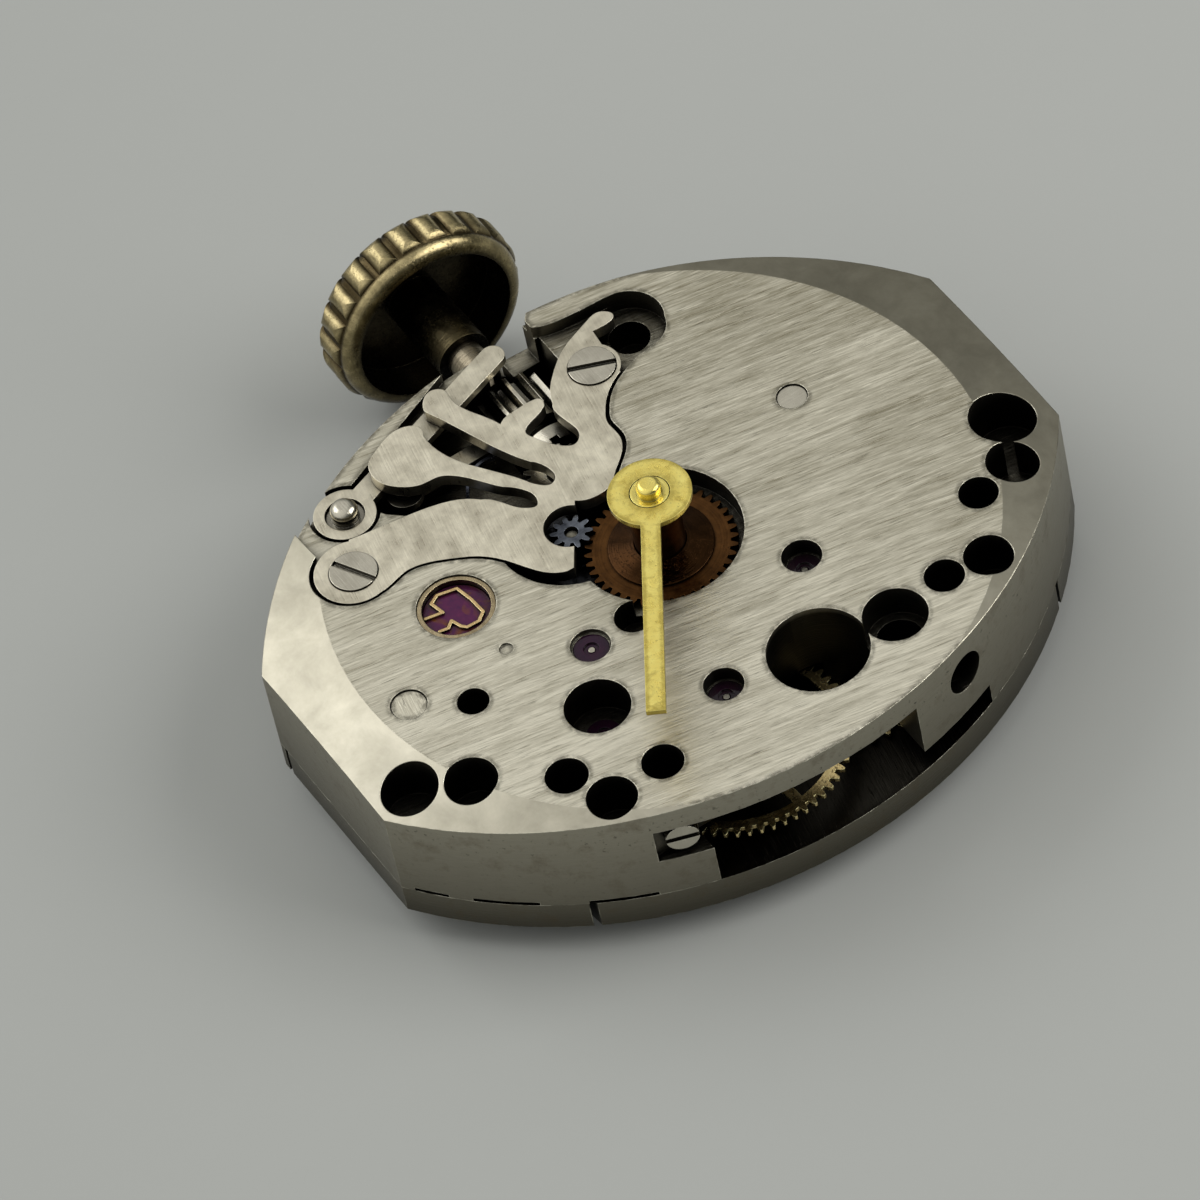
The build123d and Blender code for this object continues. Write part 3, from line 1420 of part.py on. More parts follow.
def crown():
    # a hollow core with a domed end, and a ring of rounded knobs that stand out of its rim
    end = crown_start + crown_length
    floor = crown_start + crown_hollow_depth
    bore = stem_thread_radius + fit_gap
    core = crown_radius - crown_knob_rise
    shoulder = (end, core - crown_rounding)
    dome_radius = (shoulder[1] ** 2 + crown_dome ** 2) / (2 * crown_dome)
    middle = end + crown_dome - dome_radius
    half = asin(shoulder[1] / dome_radius) / 2
    edges = rounded_profile(crown_start, end, crown_hollow_radius, core, crown_rounding)
    edges.append(ThreePointArc(shoulder, (middle + dome_radius * cos(half), dome_radius * sin(half)),
                               (end + crown_dome, 0)))
    corners = [(end + crown_dome, 0), (floor, 0), (floor, bore), (tube_start, bore),
               (tube_start, crown_tube_radius), (floor, crown_tube_radius), (floor, crown_hollow_radius),
               (crown_start, crown_hollow_radius)]
    edges += [Line(a, b) for a, b in zip(corners, corners[1:])]
    solid = revolve(make_face(Curve() + edges), axis=Axis.X)
    # the knobs are bars about the rim, turned round at both ends and cut off inside it
    low, high = crown_start + crown_plain_band, end - crown_knob_end
    inner = (core + crown_hollow_radius) / 2
    turned = rounded_profile(low, high, inner, crown_radius, crown_knob_rounding)
    turned += [Line((high, crown_radius - crown_knob_rounding), (high, inner)), Line((high, inner), (low, inner))]
    band = revolve(make_face(Curve() + turned), axis=Axis.X)
    orbit = crown_radius - crown_knob_radius
    for k in range(crown_knobs):
        knob = Pos(low, 0, 0) * Rot(0, 90, 0) * Cylinder(
            crown_knob_radius, high - low, align=(Align.CENTER, Align.CENTER, Align.MIN))
        turn = Rot((k + 0.5) * 360 / crown_knobs, 0, 0)
        solid = solid + (turn * Pos(0, orbit, 0) * knob & band)
    return Pos(0, 0, stem_height) * solid


def lying(solid, x):
    # lays a wheel made about the upright axis at the origin along the stem
    return Pos(x, 0, stem_height) * Rot(0, 90, 0) * solid


def face_teeth(x, depth, teeth, radius):
    # radial cuts that leave pairs of teeth in an end face at x
    cuts = []
    width = pi * radius / teeth * face_gap_share
    for k in range(teeth // 2):
        turn = Rot(k * 360 / teeth, 0, 0)
        slab_x = Pos(x, 0, stem_height) * turn * Box(depth * 2, radius * 2 + overrun, width)
        cuts.append(slab_x)
    return cuts


face_gap_share = 0.85


def winding_pinion():
    module = winding_radius / (winding_teeth / 2 + 0.90)
    solid = lying(toothed(centre_at, winding_teeth, module, 0, winding_length, 0), winding_start)
    solid = solid - face_teeth(winding_start, clutch_tooth_depth, clutch_teeth, winding_radius)
    return solid - turned_x([
        (stem_neck_radius + turning_gap, winding_start - overrun, winding_end + overrun)])


def sliding_pinion():
    groove = clutch_start + clutch_length * clutch_groove_share
    a, b = groove - clutch_groove_width / 2, groove + clutch_groove_width / 2
    end = clutch_start + clutch_length
    solid = turned_x([
        (clutch_radius, clutch_start, a), (clutch_groove_radius, a, b), (clutch_radius, b, end)])
    solid = solid - face_teeth(end, clutch_tooth_depth, clutch_teeth, clutch_radius)
    solid = solid - face_teeth(clutch_start, clutch_tooth_depth, clutch_teeth, clutch_radius)
    half = stem_square / 2 + turning_gap
    return solid - block(
        clutch_start - overrun, end + overrun, -half, half, stem_height - half, stem_height + half)


def ratchet_wheel():
    phase = bearing(barrel_at, crown_wheel_at)
    solid = toothed(barrel_at, ratchet_teeth, ratchet_module, winding_wheel_z, winding_wheel_top, phase)
    hole = ratchet_square + fit_gap * 2
    solid = solid - slab(barrel_at, 0, hole, hole, -overrun, winding_wheel_top + overrun)
    return solid - post(
        barrel_at, ratchet_head_radius + turning_gap, -overrun, winding_wheel_z + wheel_head_height)


def ratchet_screw():
    head = winding_wheel_z + wheel_head_height
    solid = post(barrel_at, ratchet_head_radius, winding_wheel_z, head)
    solid = solid + post(barrel_at, click_shank_radius - fit_gap, head, barrel_z - part_gap)
    return solid - slab(
        barrel_at, 40, far, slot_width, winding_wheel_z - overrun, winding_wheel_z + slot_depth)


def crown_wheel():
    phase = bearing(crown_wheel_at, barrel_at) + 180 / crown_teeth
    solid = toothed(crown_wheel_at, crown_teeth, ratchet_module, winding_wheel_z, winding_wheel_top, phase)
    half = contrate_width / 2
    top = winding_wheel_top + contrate_height
    contrate = ring(crown_wheel_at, contrate_radius + half, contrate_radius - half, winding_wheel_z, top)
    gap = pi * contrate_radius / contrate_teeth
    for k in range(contrate_teeth // 2):
        angle = (k + 0.5) * 360 / contrate_teeth
        contrate = contrate - slab(crown_wheel_at, angle, far, gap, top - contrate_tooth_depth, top + overrun)
    solid = solid + contrate
    return solid - through(crown_wheel_at, crown_core_radius + turning_gap) - post(
        crown_wheel_at, wheel_head_radius + turning_gap, -overrun, winding_wheel_z + wheel_head_height)


def wheel_screws():
    big = screw(crown_wheel_at, winding_wheel_z, wheel_head_radius, wheel_head_height - turning_gap,
                wheel_shank_radius - fit_gap, wheel_shank_length - wheel_shank_radius, 70, side=-1)
    small = screw(click_at, winding_wheel_z, click_head_radius, wheel_head_height / 2,
                  click_shank_radius - fit_gap, winding_recess, 110, side=-1)
    return group([big, small])


click_low = winding_wheel_z + wheel_head_height / 2 + fit_gap
click_tip = polar(barrel_at, ratchet_tip - ratchet_module, click_angle + 12)
click_tail = polar(click_at, click_eye * 1.9, click_angle + 60)


def click():
    low, high = click_low, click_low + click_height
    solid = post(click_at, click_eye, low, high)
    solid = solid + prism([polar(click_at, click_eye * 0.8, click_angle + 90), click_tip,
                           polar(click_at, click_eye * 0.8, click_angle - 90)], low, high)
    solid = solid + bar(click_at, click_tail, click_width, low, high)
    return solid - through(click_at, click_shank_radius + turning_gap)


def click_spring():
    low, high = click_low, click_low + click_height
    foot = polar(click_at, click_room - spring_foot_radius, click_angle - 70)
    past = polar(click_tail, click_width / 2 + running_gap + spring_wire / 2, click_angle - 20)
    middle = polar(click_at, click_eye + running_gap * 2, click_angle - 5)
    line = [foot, middle, past]
    left, right = sideways(line, -spring_wire / 2), sideways(line, spring_wire / 2)
    wire = contour([left, [left[-1], right[-1]], right[::-1], [right[0], left[0]]], low, high)
    return wire + post(foot, spring_foot_radius, low, winding_recess)


nodes = {
    "main_plate": main_plate,
    "plate_jewels": plate_jewel_set,
    "steady_pins": steady_pins,
    "train_bridge": train_bridge,
    "bridge_jewels": bridge_jewel_set,
    "barrel_bridge": barrel_bridge,
    "balance_cock": balance_cock,
    "bridge_screws": bridge_screws,
    "pallet_cock": lambda: cock(pallet_at, pallet_cock_foot, pivot_radius + turning_gap),
    "centre_cock": lambda: cock(centre_at, centre_cock_foot, pivot_radius * 2 + turning_gap),
    "cock_screws": cock_screws,
    "barrel_drum": barrel_drum,
    "barrel_cover": barrel_cover,
    "barrel_arbor": barrel_arbor,
    "mainspring": mainspring,
    "centre_wheel": lambda: train_wheel(
        centre_at, centre_teeth, centre_module, centre_z, centre_arbor_radius + fit_gap,
        wheel_hub_radius * 2, 5, third_at, centre_spoke_angle),
    "centre_pinion": centre_pinion,
    "third_wheel": lambda: train_wheel(
        third_at, third_teeth, third_module, third_z, arbor_radius + fit_gap, wheel_hub_radius, 5, fourth_at,
        third_spoke_angle),
    "third_pinion": third_pinion,
    "fourth_wheel": lambda: train_wheel(
        fourth_at, fourth_teeth, fourth_module, fourth_z, arbor_radius + fit_gap, wheel_hub_radius, 5, escape_at,
        fourth_spoke_angle),
    "fourth_pinion": fourth_pinion,
    "escape_wheel": escape_wheel,
    "escape_pinion": escape_pinion,
    "pallet_fork": pallet_fork,
    "pallet_arbor": pallet_arbor,
    "pallet_stones": pallet_stones,
    "balance_wheel": balance_wheel,
    "balance_staff": balance_staff,
    "roller": roller,
    "impulse_jewel": impulse_jewel,
    "hairspring": hairspring,
    "hairspring_collet": hairspring_collet,
    "hairspring_stud": hairspring_stud,
    "regulator": regulator,
    "shock_settings": shock_settings,
    "cap_jewels": cap_jewels,
    "shock_springs": shock_springs,
    "cannon_pinion": cannon_pinion,
    "hour_wheel": hour_wheel,
    "dial_washer": dial_washer,
    "hour_hand": hour_hand,
    "minute_wheel": minute_wheel,
    "setting_wheel": setting_wheel,
    "keyless_cover": keyless_cover,
    "cover_screws": cover_screws,
    "setting_lever": setting_lever,
    "setting_lever_post": setting_lever_post,
    "yoke": yoke,
    "yoke_spring": yoke_spring,
    "stem": stem,
    "crown": crown,
    "winding_pinion": winding_pinion,
    "sliding_pinion": sliding_pinion,
    "dial_screws": dial_screws,
    "ratchet_wheel": ratchet_wheel,
    "ratchet_screw": ratchet_screw,
    "crown_wheel": crown_wheel,
    "wheel_screws": wheel_screws,
    "click": click,
    "click_spring": click_spring,
}

os.makedirs("parts", exist_ok=True)
for name, make in nodes.items():
    export_step(make(), f"parts/{name}.step")
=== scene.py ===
"""Looks for the mechanical watch movement: camera, light, floor and the finish of every piece."""

import bpy
from mathutils import Matrix, Vector


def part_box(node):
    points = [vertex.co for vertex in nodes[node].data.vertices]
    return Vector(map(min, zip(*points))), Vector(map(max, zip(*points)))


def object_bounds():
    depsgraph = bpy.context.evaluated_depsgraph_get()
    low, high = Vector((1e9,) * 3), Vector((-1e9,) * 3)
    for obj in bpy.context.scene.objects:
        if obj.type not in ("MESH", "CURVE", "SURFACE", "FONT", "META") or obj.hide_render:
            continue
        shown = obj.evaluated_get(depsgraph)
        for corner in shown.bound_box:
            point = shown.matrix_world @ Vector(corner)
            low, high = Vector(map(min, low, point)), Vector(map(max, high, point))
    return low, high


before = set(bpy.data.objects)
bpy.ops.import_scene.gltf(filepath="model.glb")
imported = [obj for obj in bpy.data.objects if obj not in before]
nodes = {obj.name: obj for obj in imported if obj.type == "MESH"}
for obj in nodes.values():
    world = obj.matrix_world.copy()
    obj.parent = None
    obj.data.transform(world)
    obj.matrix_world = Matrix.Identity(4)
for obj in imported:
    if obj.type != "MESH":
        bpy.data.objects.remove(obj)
cad_box = [list(corner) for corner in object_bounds()]
MM = 0.001

# Measures of the solids in millimetres. Where there are two, a finish fades in from the first to the second
STEM_HEIGHT = 1.65
BIG_HOLE = (-4.98, -0.96)
BIG_HOLE_EDGE = (1.213, 1.183)
BIG_HOLE_TOP = (3.54, 3.42)
BIG_HOLE_END = (0.81, 0.84)
BRIDGE_TOP = 0.8
SIDE_HEIGHTS = (3.4, 0.2)
RIM_FROM, RIM_TO = (2.4, 2.8), (3.5, 3.1)
HOLLOW_RIM = (2.08, 1.98)
HOLLOW_FLOOR = (11.05, 10.96)
CROWN_TUBE = (0.72, 0.68)
KNOB_FOOT, RIM_INSIDE = (2.46, 2.385), (2.20, 2.30)
KNOB_START, KNOB_END = (10.20, 10.27), (11.22, 11.14)
ABOUT_X, ABOUT_Z = (0, 1, 1), (1, 1, 0)


# Camera: the photograph's own viewing angle, worked out from the round dial seat
camera_place = Vector((-130.509, 55.792, 173.218)) * MM
camera_right = Vector((-0.53505, -0.83218, -0.14565))
camera_up = Vector((0.60536, -0.49792, 0.62098))
camera_back = camera_right.cross(camera_up)
camera = bpy.data.objects.new("camera", bpy.data.cameras.new("camera"))
bpy.context.scene.collection.objects.link(camera)
camera.data.lens = 300
camera.data.sensor_width = 36
camera.data.clip_start = 0.001
camera.data.clip_end = 10
camera.matrix_world = Matrix.Translation(camera_place) @ Matrix(
    (camera_right, camera_up, camera_back)).transposed().to_4x4()
bpy.context.scene.camera = camera
bpy.context.scene.view_settings.view_transform = "Standard"


# painted shade colour, nearly black, for holes, gaps and corners
PAINTED_SHADE_BLACK = (0.006, 0.005, 0.004)
STAIN_BROWN = (0.120, 0.090, 0.050)
# painted shade colours for the crown's hollow and the gaps between its knobs
HOLLOW_PAINTED_SHADE = (0.010, 0.006, 0.003)
GAP_PAINTED_SHADE = (0.026, 0.016, 0.006)


def darker(colour, share):
    return tuple(share * c for c in colour)


def lighter(colour, share):
    return tuple(min(1, share * c) for c in colour)


# Shader building, one small layer over the node tree
class Shader:
    def __init__(self, name):
        self.material = bpy.data.materials.new(name)
        self.material.use_nodes = True
        self.tree = self.material.node_tree
        self.tree.nodes.clear()

    def add(self, kind, inputs=None, **settings):
        node = self.tree.nodes.new(kind)
        for key, value in settings.items():
            setattr(node, key, value)
        for key, value in (inputs or {}).items():
            if isinstance(value, bpy.types.NodeSocket):
                self.tree.links.new(value, node.inputs[key])
            else:
                node.inputs[key].default_value = value
        return node

    def math(self, operation, first, second=0.0, third=0.0, clamp=False):
        node = self.add(
            "ShaderNodeMath", {0: first, 1: second, 2: third}, operation=operation, use_clamp=clamp)
        return node.outputs[0]

    def times(self, first, second):
        return self.math("MULTIPLY", first, second)

    def rest(self, share):
        """What a share leaves of one."""
        return self.math("SUBTRACT", 1.0, share)

    def swing(self, value, amount, base, clamp=False):
        """The base, moved up or down as the value lies over or under one half."""
        return self.math("MULTIPLY_ADD", self.math("SUBTRACT", value, 0.5), amount, base, clamp)

    def place(self):
        """The point in millimetres in the row's frame, which moves with its body."""
        spot = self.add("ShaderNodeTexCoord").outputs["Object"]
        return self.add("ShaderNodeVectorMath", {0: spot, "Scale": 1 / MM}, operation="SCALE").outputs[0]

    def along(self, spot, direction):
        product = self.add("ShaderNodeVectorMath", {0: spot, 1: direction}, operation="DOT_PRODUCT")
        return product.outputs["Value"]

    def joined(self, x, y, z):
        return self.add("ShaderNodeCombineXYZ", {0: x, 1: y, 2: z}).outputs[0]

    def stretched(self, u, v, z, along, across):
        """A point whose first two measures are scaled, so that noise over it becomes grain."""
        return self.joined(self.times(u, along), self.times(v, across), z)

    def distance(self, spot, point, plane):
        """How far the spot is from the point, seen along the one axis that the plane leaves out."""
        away = self.add("ShaderNodeVectorMath", {0: spot, 1: point}, operation="SUBTRACT").outputs[0]
        flat = self.add("ShaderNodeVectorMath", {0: away, 1: plane}, operation="MULTIPLY").outputs[0]
        return self.add("ShaderNodeVectorMath", {0: flat}, operation="LENGTH").outputs["Value"]

    def noise(self, spot, scale, detail=3.0, rough=0.55, distortion=0.0):
        node = self.add("ShaderNodeTexNoise", {
            "Vector": spot, "Scale": scale, "Detail": detail, "Roughness": rough, "Distortion": distortion})
        return node.outputs[0]

    def span(self, value, low, high, out_low=0.0, out_high=1.0):
        node = self.add("ShaderNodeMapRange", {
            "Value": value, "From Min": low, "From Max": high, "To Min": out_low, "To Max": out_high})
        return node.outputs[0]

    def mix(self, share, first, second, blend="MIX"):
        node = self.add("ShaderNodeMix", data_type="RGBA", blend_type=blend)
        for index, value in ((0, share), (6, first), (7, second)):
            if isinstance(value, bpy.types.NodeSocket):
                self.tree.links.new(value, node.inputs[index])
            elif index and len(value) == 3:
                node.inputs[index].default_value = (*value, 1)
            else:
                node.inputs[index].default_value = value
        return node.outputs[2]

    def blend(self, share, first, second):
        """A number between two numbers."""
        node = self.add("ShaderNodeMix", data_type="FLOAT")
        for index, value in ((0, share), (2, first), (3, second)):
            if isinstance(value, bpy.types.NodeSocket):
                self.tree.links.new(value, node.inputs[index])
            else:
                node.inputs[index].default_value = value
        return node.outputs[0]

    def flatness(self):
        """1 on faces that look up or down, 0 on upright walls."""
        normal = self.add("ShaderNodeNewGeometry").outputs["True Normal"]
        up = self.math("ABSOLUTE", self.along(normal, (0, 0, 1)))
        return self.span(up, 0.55, 0.75)

    def edges(self, radius, least=0.995, most=0.90):
        """The rounded normal, and 1 where an edge is within the radius."""
        soft = self.add("ShaderNodeBevel", {"Radius": radius * MM}, samples=6).outputs[0]
        hard = self.add("ShaderNodeNewGeometry").outputs["Normal"]
        same = self.add("ShaderNodeVectorMath", {0: soft, 1: hard}, operation="DOT_PRODUCT").outputs["Value"]
        return soft, self.span(same, least, most)

    def painted_shade_mask(self, reach, low=0.35, high=0.95):
        """Painted shade mask from occlusion: 1 in corners and deep gaps, 0 in the open."""
        seen = self.add("ShaderNodeAmbientOcclusion", {"Distance": reach * MM}, samples=8).outputs["AO"]
        return self.span(seen, high, low)

    def with_painted_shade(self, base, reach=1.3, share=0.97, low=0.30, high=0.86):
        """The colour with painted shade: nearly black deep in holes, windows and gaps."""
        deep = self.painted_shade_mask(reach, low, high)
        return self.mix(self.times(deep, share), base, PAINTED_SHADE_BLACK)

    def bump(self, height, strength, distance, normal=None):
        inputs = {"Height": height, "Strength": strength, "Distance": distance * MM}
        if normal is not None:
            inputs["Normal"] = normal
        return self.add("ShaderNodeBump", inputs).outputs[0]

    def finish(self, colour, rough, normal, **fixed):
        inputs = {"Base Color": colour, "Roughness": rough, "Normal": normal}
        inputs.update({key.replace("_", " "): value for key, value in fixed.items()})
        surface = self.add("ShaderNodeBsdfPrincipled", inputs).outputs[0]
        self.add("ShaderNodeOutputMaterial", {"Surface": surface})
        return self.material


GRAIN = (0.199, 0.980, 0)
ACROSS = (0.980, -0.199, 0)
FINE = 0.012


def grained_plate(name, colour, dark, grain=GRAIN, across=ACROSS, contrast=1.0, painted_side_shade=0.84,
                  bevel_dark=0.44, inner_top=None):
    """Nickel silver: straight grain on the flats, plain bevels, turned sides darkened with painted shade,
    with corroded spots.
    """
    s = Shader(name)
    spot = s.place()
    u, v, z = s.along(spot, grain), s.along(spot, across), s.along(spot, (0, 0, 1))
    up = s.math("ABSOLUTE", s.along(s.add("ShaderNodeNewGeometry").outputs["True Normal"], (0, 0, 1)))
    flat = s.span(up, 0.55, 0.75)
    seat = s.span(up, 0.980, 0.990)
    side = s.rest(flat)
    lines = s.noise(s.stretched(u, v, z, 0.55, 10.0), 2.6, 5.0, 0.62)
    bands = s.noise(s.stretched(u, v, z, 0.30, 3.4), 2.1, 4.0, 0.6, 0.3)
    broad = s.noise(s.stretched(u, v, z, 0.10, 0.5), 1.1, 3.0, 0.5)
    cuts = s.noise(s.stretched(u, v, z, 0.9, 26.0), 1.7, 2.0, 0.5)
    deep = s.span(cuts, 0.64, 0.74)
    glint = s.span(s.noise(s.stretched(u, v, z, 0.8, 16.0), 2.3, 2.0, 0.5),
                   0.62, 0.70)
    turned = s.noise(s.joined(s.times(u, 1.2), s.times(v, 1.2), s.times(z, 22.0)),
                     1.1, 4.0, 0.6)
    stains = s.noise(spot, 1.6, 6.0, 0.7)
    spots = s.span(s.noise(spot, 9.0, 3.0, 0.6), 0.62, 0.72)
    marks = s.swing(lines, 1.15 * contrast, 0.0)
    marks = s.swing(bands, 0.95 * contrast, marks)
    marks = s.swing(broad, 0.6 * contrast, marks)
    # painted light: the plate is painted darker towards its upper side and lighter across from it
    painted_light_slope = s.math("MULTIPLY_ADD", s.along(spot, (0.77, -0.64, 0)), -0.034, 0.60)
    tone = s.math("MULTIPLY_ADD", marks, seat, s.math("MINIMUM", painted_light_slope, 0.82))
    tone = s.swing(turned, s.times(side, 0.35), tone)
    tone = s.swing(stains, 0.40, tone, clamp=True)
    base = s.mix(tone, dark, colour)
    bevel = s.times(flat, s.rest(seat))
    cloudy = s.span(s.noise(spot, 0.9, 5.0, 0.65, 0.3), 0.30, 0.70, 0.70 * bevel_dark, 1.30 * bevel_dark)
    base = s.mix(s.times(bevel, cloudy), base, darker(dark, 0.3))
    base = s.mix(s.times(deep, s.times(seat, 0.5)), base, darker(dark, 0.55))
    base = s.mix(s.times(glint, s.times(seat, 0.5)), base,
                 lighter(colour, 1.25))
    # painted shade: the sides are darker, most of all low down; they also have brown stains and a line of
    # corrosion under the rim
    painted_low_shade = s.times(side, s.span(z, *SIDE_HEIGHTS, 0.66 * painted_side_shade, painted_side_shade))
    base = s.mix(painted_low_shade, base, darker(dark, 0.22))
    base = s.mix(s.times(side, s.times(s.span(stains, 0.52, 0.70), 0.45)), base,
                 STAIN_BROWN)
    rim = s.times(s.span(z, *RIM_FROM), s.span(z, *RIM_TO))
    speck = s.times(spots, s.math("MULTIPLY_ADD", rim, 0.6, 0.25))
    base = s.mix(s.times(side, speck), base, darker(dark, 0.2))
    soft, edge = s.edges(0.03)
    halo = s.times(s.edges(0.22, 0.9995, 0.96)[1], s.span(s.noise(spot, 4.0, 4.0, 0.7), 0.36, 0.56))
    base = s.mix(s.times(s.times(halo, seat), 0.80), base, darker(dark, 0.22))
    # painted highlight and wear: the edges are lightened in patches
    wear_and_painted_highlight = s.times(edge, s.span(s.noise(spot, 3.1, 3.0, 0.6), 0.40, 0.60))
    base = s.mix(s.times(wear_and_painted_highlight, 0.75), base, lighter(colour, 1.3))
    # painted shade: nearly black deep in holes, windows and gaps
    base = s.with_painted_shade(base, 2.3, 0.99, 0.36, 0.90)
    # painted shade: the wide hole over the train is painted nearly black inside
    from_hole = s.distance(spot, (*BIG_HOLE, 0), ABOUT_Z)
    hole = s.times(s.span(from_hole, *BIG_HOLE_EDGE),
                   s.times(s.span(z, *BIG_HOLE_TOP), s.span(z, *BIG_HOLE_END)))
    base = s.mix(s.times(hole, 0.90), base, (0.008, 0.007, 0.005))
    if inner_top is not None:
        # painted shade: the inner faces, seen through the windows of the plate, are painted nearly black
        facing = s.along(s.add("ShaderNodeNewGeometry").outputs["True Normal"], (0, 0, 1))
        inner = s.times(s.span(facing, 0.5, 0.6), s.span(z, inner_top + 0.2, inner_top + 0.1))
        base = s.mix(s.times(inner, 0.96), base, PAINTED_SHADE_BLACK)
    rough = s.blend(flat, 0.42, 0.33)
    rough = s.math("MULTIPLY_ADD", marks, s.times(seat, 0.16), rough)
    rough = s.math("MULTIPLY_ADD", edge, -0.08, rough)
    height = s.math("MULTIPLY_ADD", deep, -0.7, s.times(marks, 1.0))
    height = s.math("MULTIPLY_ADD", height, seat, s.times(turned, side))
    normal = s.bump(height, 0.70, FINE, soft)
    return s.finish(base, rough, normal, Metallic=1.0)


def steel(name, colour, dark, rough_low=0.2, rough_high=0.38, grain=ACROSS, lines_share=0.5, edge_width=0.02,
          pitting=0.0, painted_shade_reach=0.8, blotches=0.6):
    """Ground or polished steel: fine straight grain, painted shade in corners, painted highlight along
    edges.
    """
    s = Shader(name)
    spot = s.place()
    across = (-grain[1], grain[0], 0)
    u, v, z = s.along(spot, grain), s.along(spot, across), s.along(spot, (0, 0, 1))
    lines = s.noise(s.stretched(u, v, z, 0.6, 12.0), 2.0, 4.0, 0.6)
    cloud = s.noise(spot, 2.2, 5.0, 0.6)
    tone = s.swing(lines, lines_share, 0.55)
    wide = s.noise(spot, 0.8, 4.0, 0.62, 0.4)
    tone = s.swing(cloud, blotches, tone)
    tone = s.swing(wide, blotches, tone, clamp=True)
    base = s.mix(tone, dark, colour)
    if pitting:
        pits = s.span(s.noise(spot, 14.0, 3.0, 0.65), 0.60, 0.72)
        base = s.mix(s.times(pits, pitting), base, darker(dark, 0.4))
    soft, edge = s.edges(edge_width)
    # painted highlight: the edges are lightened
    base = s.mix(s.times(edge, 0.5), base, lighter(colour, 1.2))
    # painted shade: darker in corners and gaps
    base = s.with_painted_shade(base, painted_shade_reach)
    both = s.math("MULTIPLY_ADD", lines, 0.5, s.times(cloud, 0.5))
    rough = s.span(both, 0.3, 0.7, rough_low, rough_high)
    normal = s.bump(lines, 0.35, FINE, soft)
    return s.finish(base, rough, normal, Metallic=1.0)


def gilt(name, colour, dark, centre, rough=0.28, ring_share=0.4, pitting=0.3, painted_shade_reach=0.9, patina=0.0,
         touch=None):
    """Gilded or bare brass: faint rings round the arbor, painted shade in the corners, worn edges with a
    painted highlight.
    """
    s = Shader(name)
    spot = s.place()
    radius = s.distance(spot, (*centre, 0), ABOUT_Z)
    rings = s.noise(s.joined(s.times(radius, 14.0), s.along(spot, (0, 0, 3.0)), 0.0), 1.8, 3.0, 0.6)
    cloud = s.noise(spot, 3.0, 5.0, 0.65)
    tone = s.swing(rings, ring_share, 0.5)
    tone = s.swing(cloud, 1.1, tone, clamp=True)
    base = s.mix(tone, dark, colour)
    pits = s.span(s.noise(spot, 16.0, 4.0, 0.7), 0.58, 0.70)
    base = s.mix(s.times(pits, pitting), base, darker(dark, 0.35))
    if patina:
        # brown skin in patches, thickest along the edges and on the upright walls
        border = s.edges(0.20, 0.9995, 0.95)[1]
        patch = s.math("MULTIPLY_ADD", border, 0.22, s.noise(spot, 2.6, 6.0, 0.72, 0.5))
        patch = s.math("MULTIPLY_ADD", s.rest(s.flatness()), 0.16, patch)
        base = s.mix(s.times(s.span(patch, 0.50, 0.72), patina), base, darker(dark, 0.42))
    soft, edge = s.edges(0.02)
    # painted highlight and wear: the edges are lightened, less where the patina is thick
    base = s.mix(s.times(edge, 0.6 - 0.35 * patina), base, lighter(colour, 1.3))
    if touch is not None:
        base = touch(s, spot, base)
    # painted shade: darker in corners and gaps
    base = s.with_painted_shade(base, painted_shade_reach)
    finish = s.swing(cloud, 0.3, rough)
    height = s.math("MULTIPLY_ADD", pits, -0.7, rings)
    normal = s.bump(height, 0.4, FINE, soft)
    return s.finish(base, finish, normal, Metallic=1.0)


def crown_painted_shade(s, spot, base):
    """Painted shade between the knobs of the crown, and a nearly black painted shade in the hollow round its
    brown tube.
    """
    radius = s.distance(spot, (0, 0, STEM_HEIGHT), ABOUT_X)
    x = s.along(spot, (1, 0, 0))
    hollow = s.times(s.span(radius, *HOLLOW_RIM), s.span(x, *HOLLOW_FLOOR))
    share = s.span(radius, *CROWN_TUBE, 0.95, 0.70)
    base = s.mix(s.times(hollow, share), base, HOLLOW_PAINTED_SHADE)
    gap = s.times(s.span(radius, *KNOB_FOOT), s.span(radius, *RIM_INSIDE))
    gap = s.times(gap, s.times(s.span(x, *KNOB_START), s.span(x, *KNOB_END)))
    return s.mix(s.times(gap, 0.86), base, GAP_PAINTED_SHADE)


def ruby(name, colour, deep, gleam=None):
    """Synthetic ruby: deep, glossy, a little see-through."""
    s = Shader(name)
    spot = s.place()
    cloud = s.noise(spot, 5.0, 3.0, 0.5)
    base = s.mix(cloud, deep, colour)
    soft, edge = s.edges(0.015)
    # painted highlight: the edges are lightened
    base = s.mix(s.times(edge, 0.35), base, lighter(colour, 2.0))
    if gleam is not None:
        base = s.mix(s.span(s.noise(spot, 1.7, 3.0, 0.6, 1.0), 0.50, 0.66), base, gleam)
    # painted shade: darker in the jewel holes
    base = s.with_painted_shade(base, 0.9, 0.9)
    rough = s.span(cloud, 0.3, 0.7, 0.05, 0.12)
    normal = s.bump(s.noise(spot, 20.0, 2.0), 0.08, FINE, soft)
    return s.finish(base, rough, normal, IOR=1.6, Transmission_Weight=0.2, Specular_IOR_Level=0.16)


def middle(node):
    low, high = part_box(node)
    return ((low.x + high.x) / 2 / MM, (low.y + high.y) / 2 / MM)


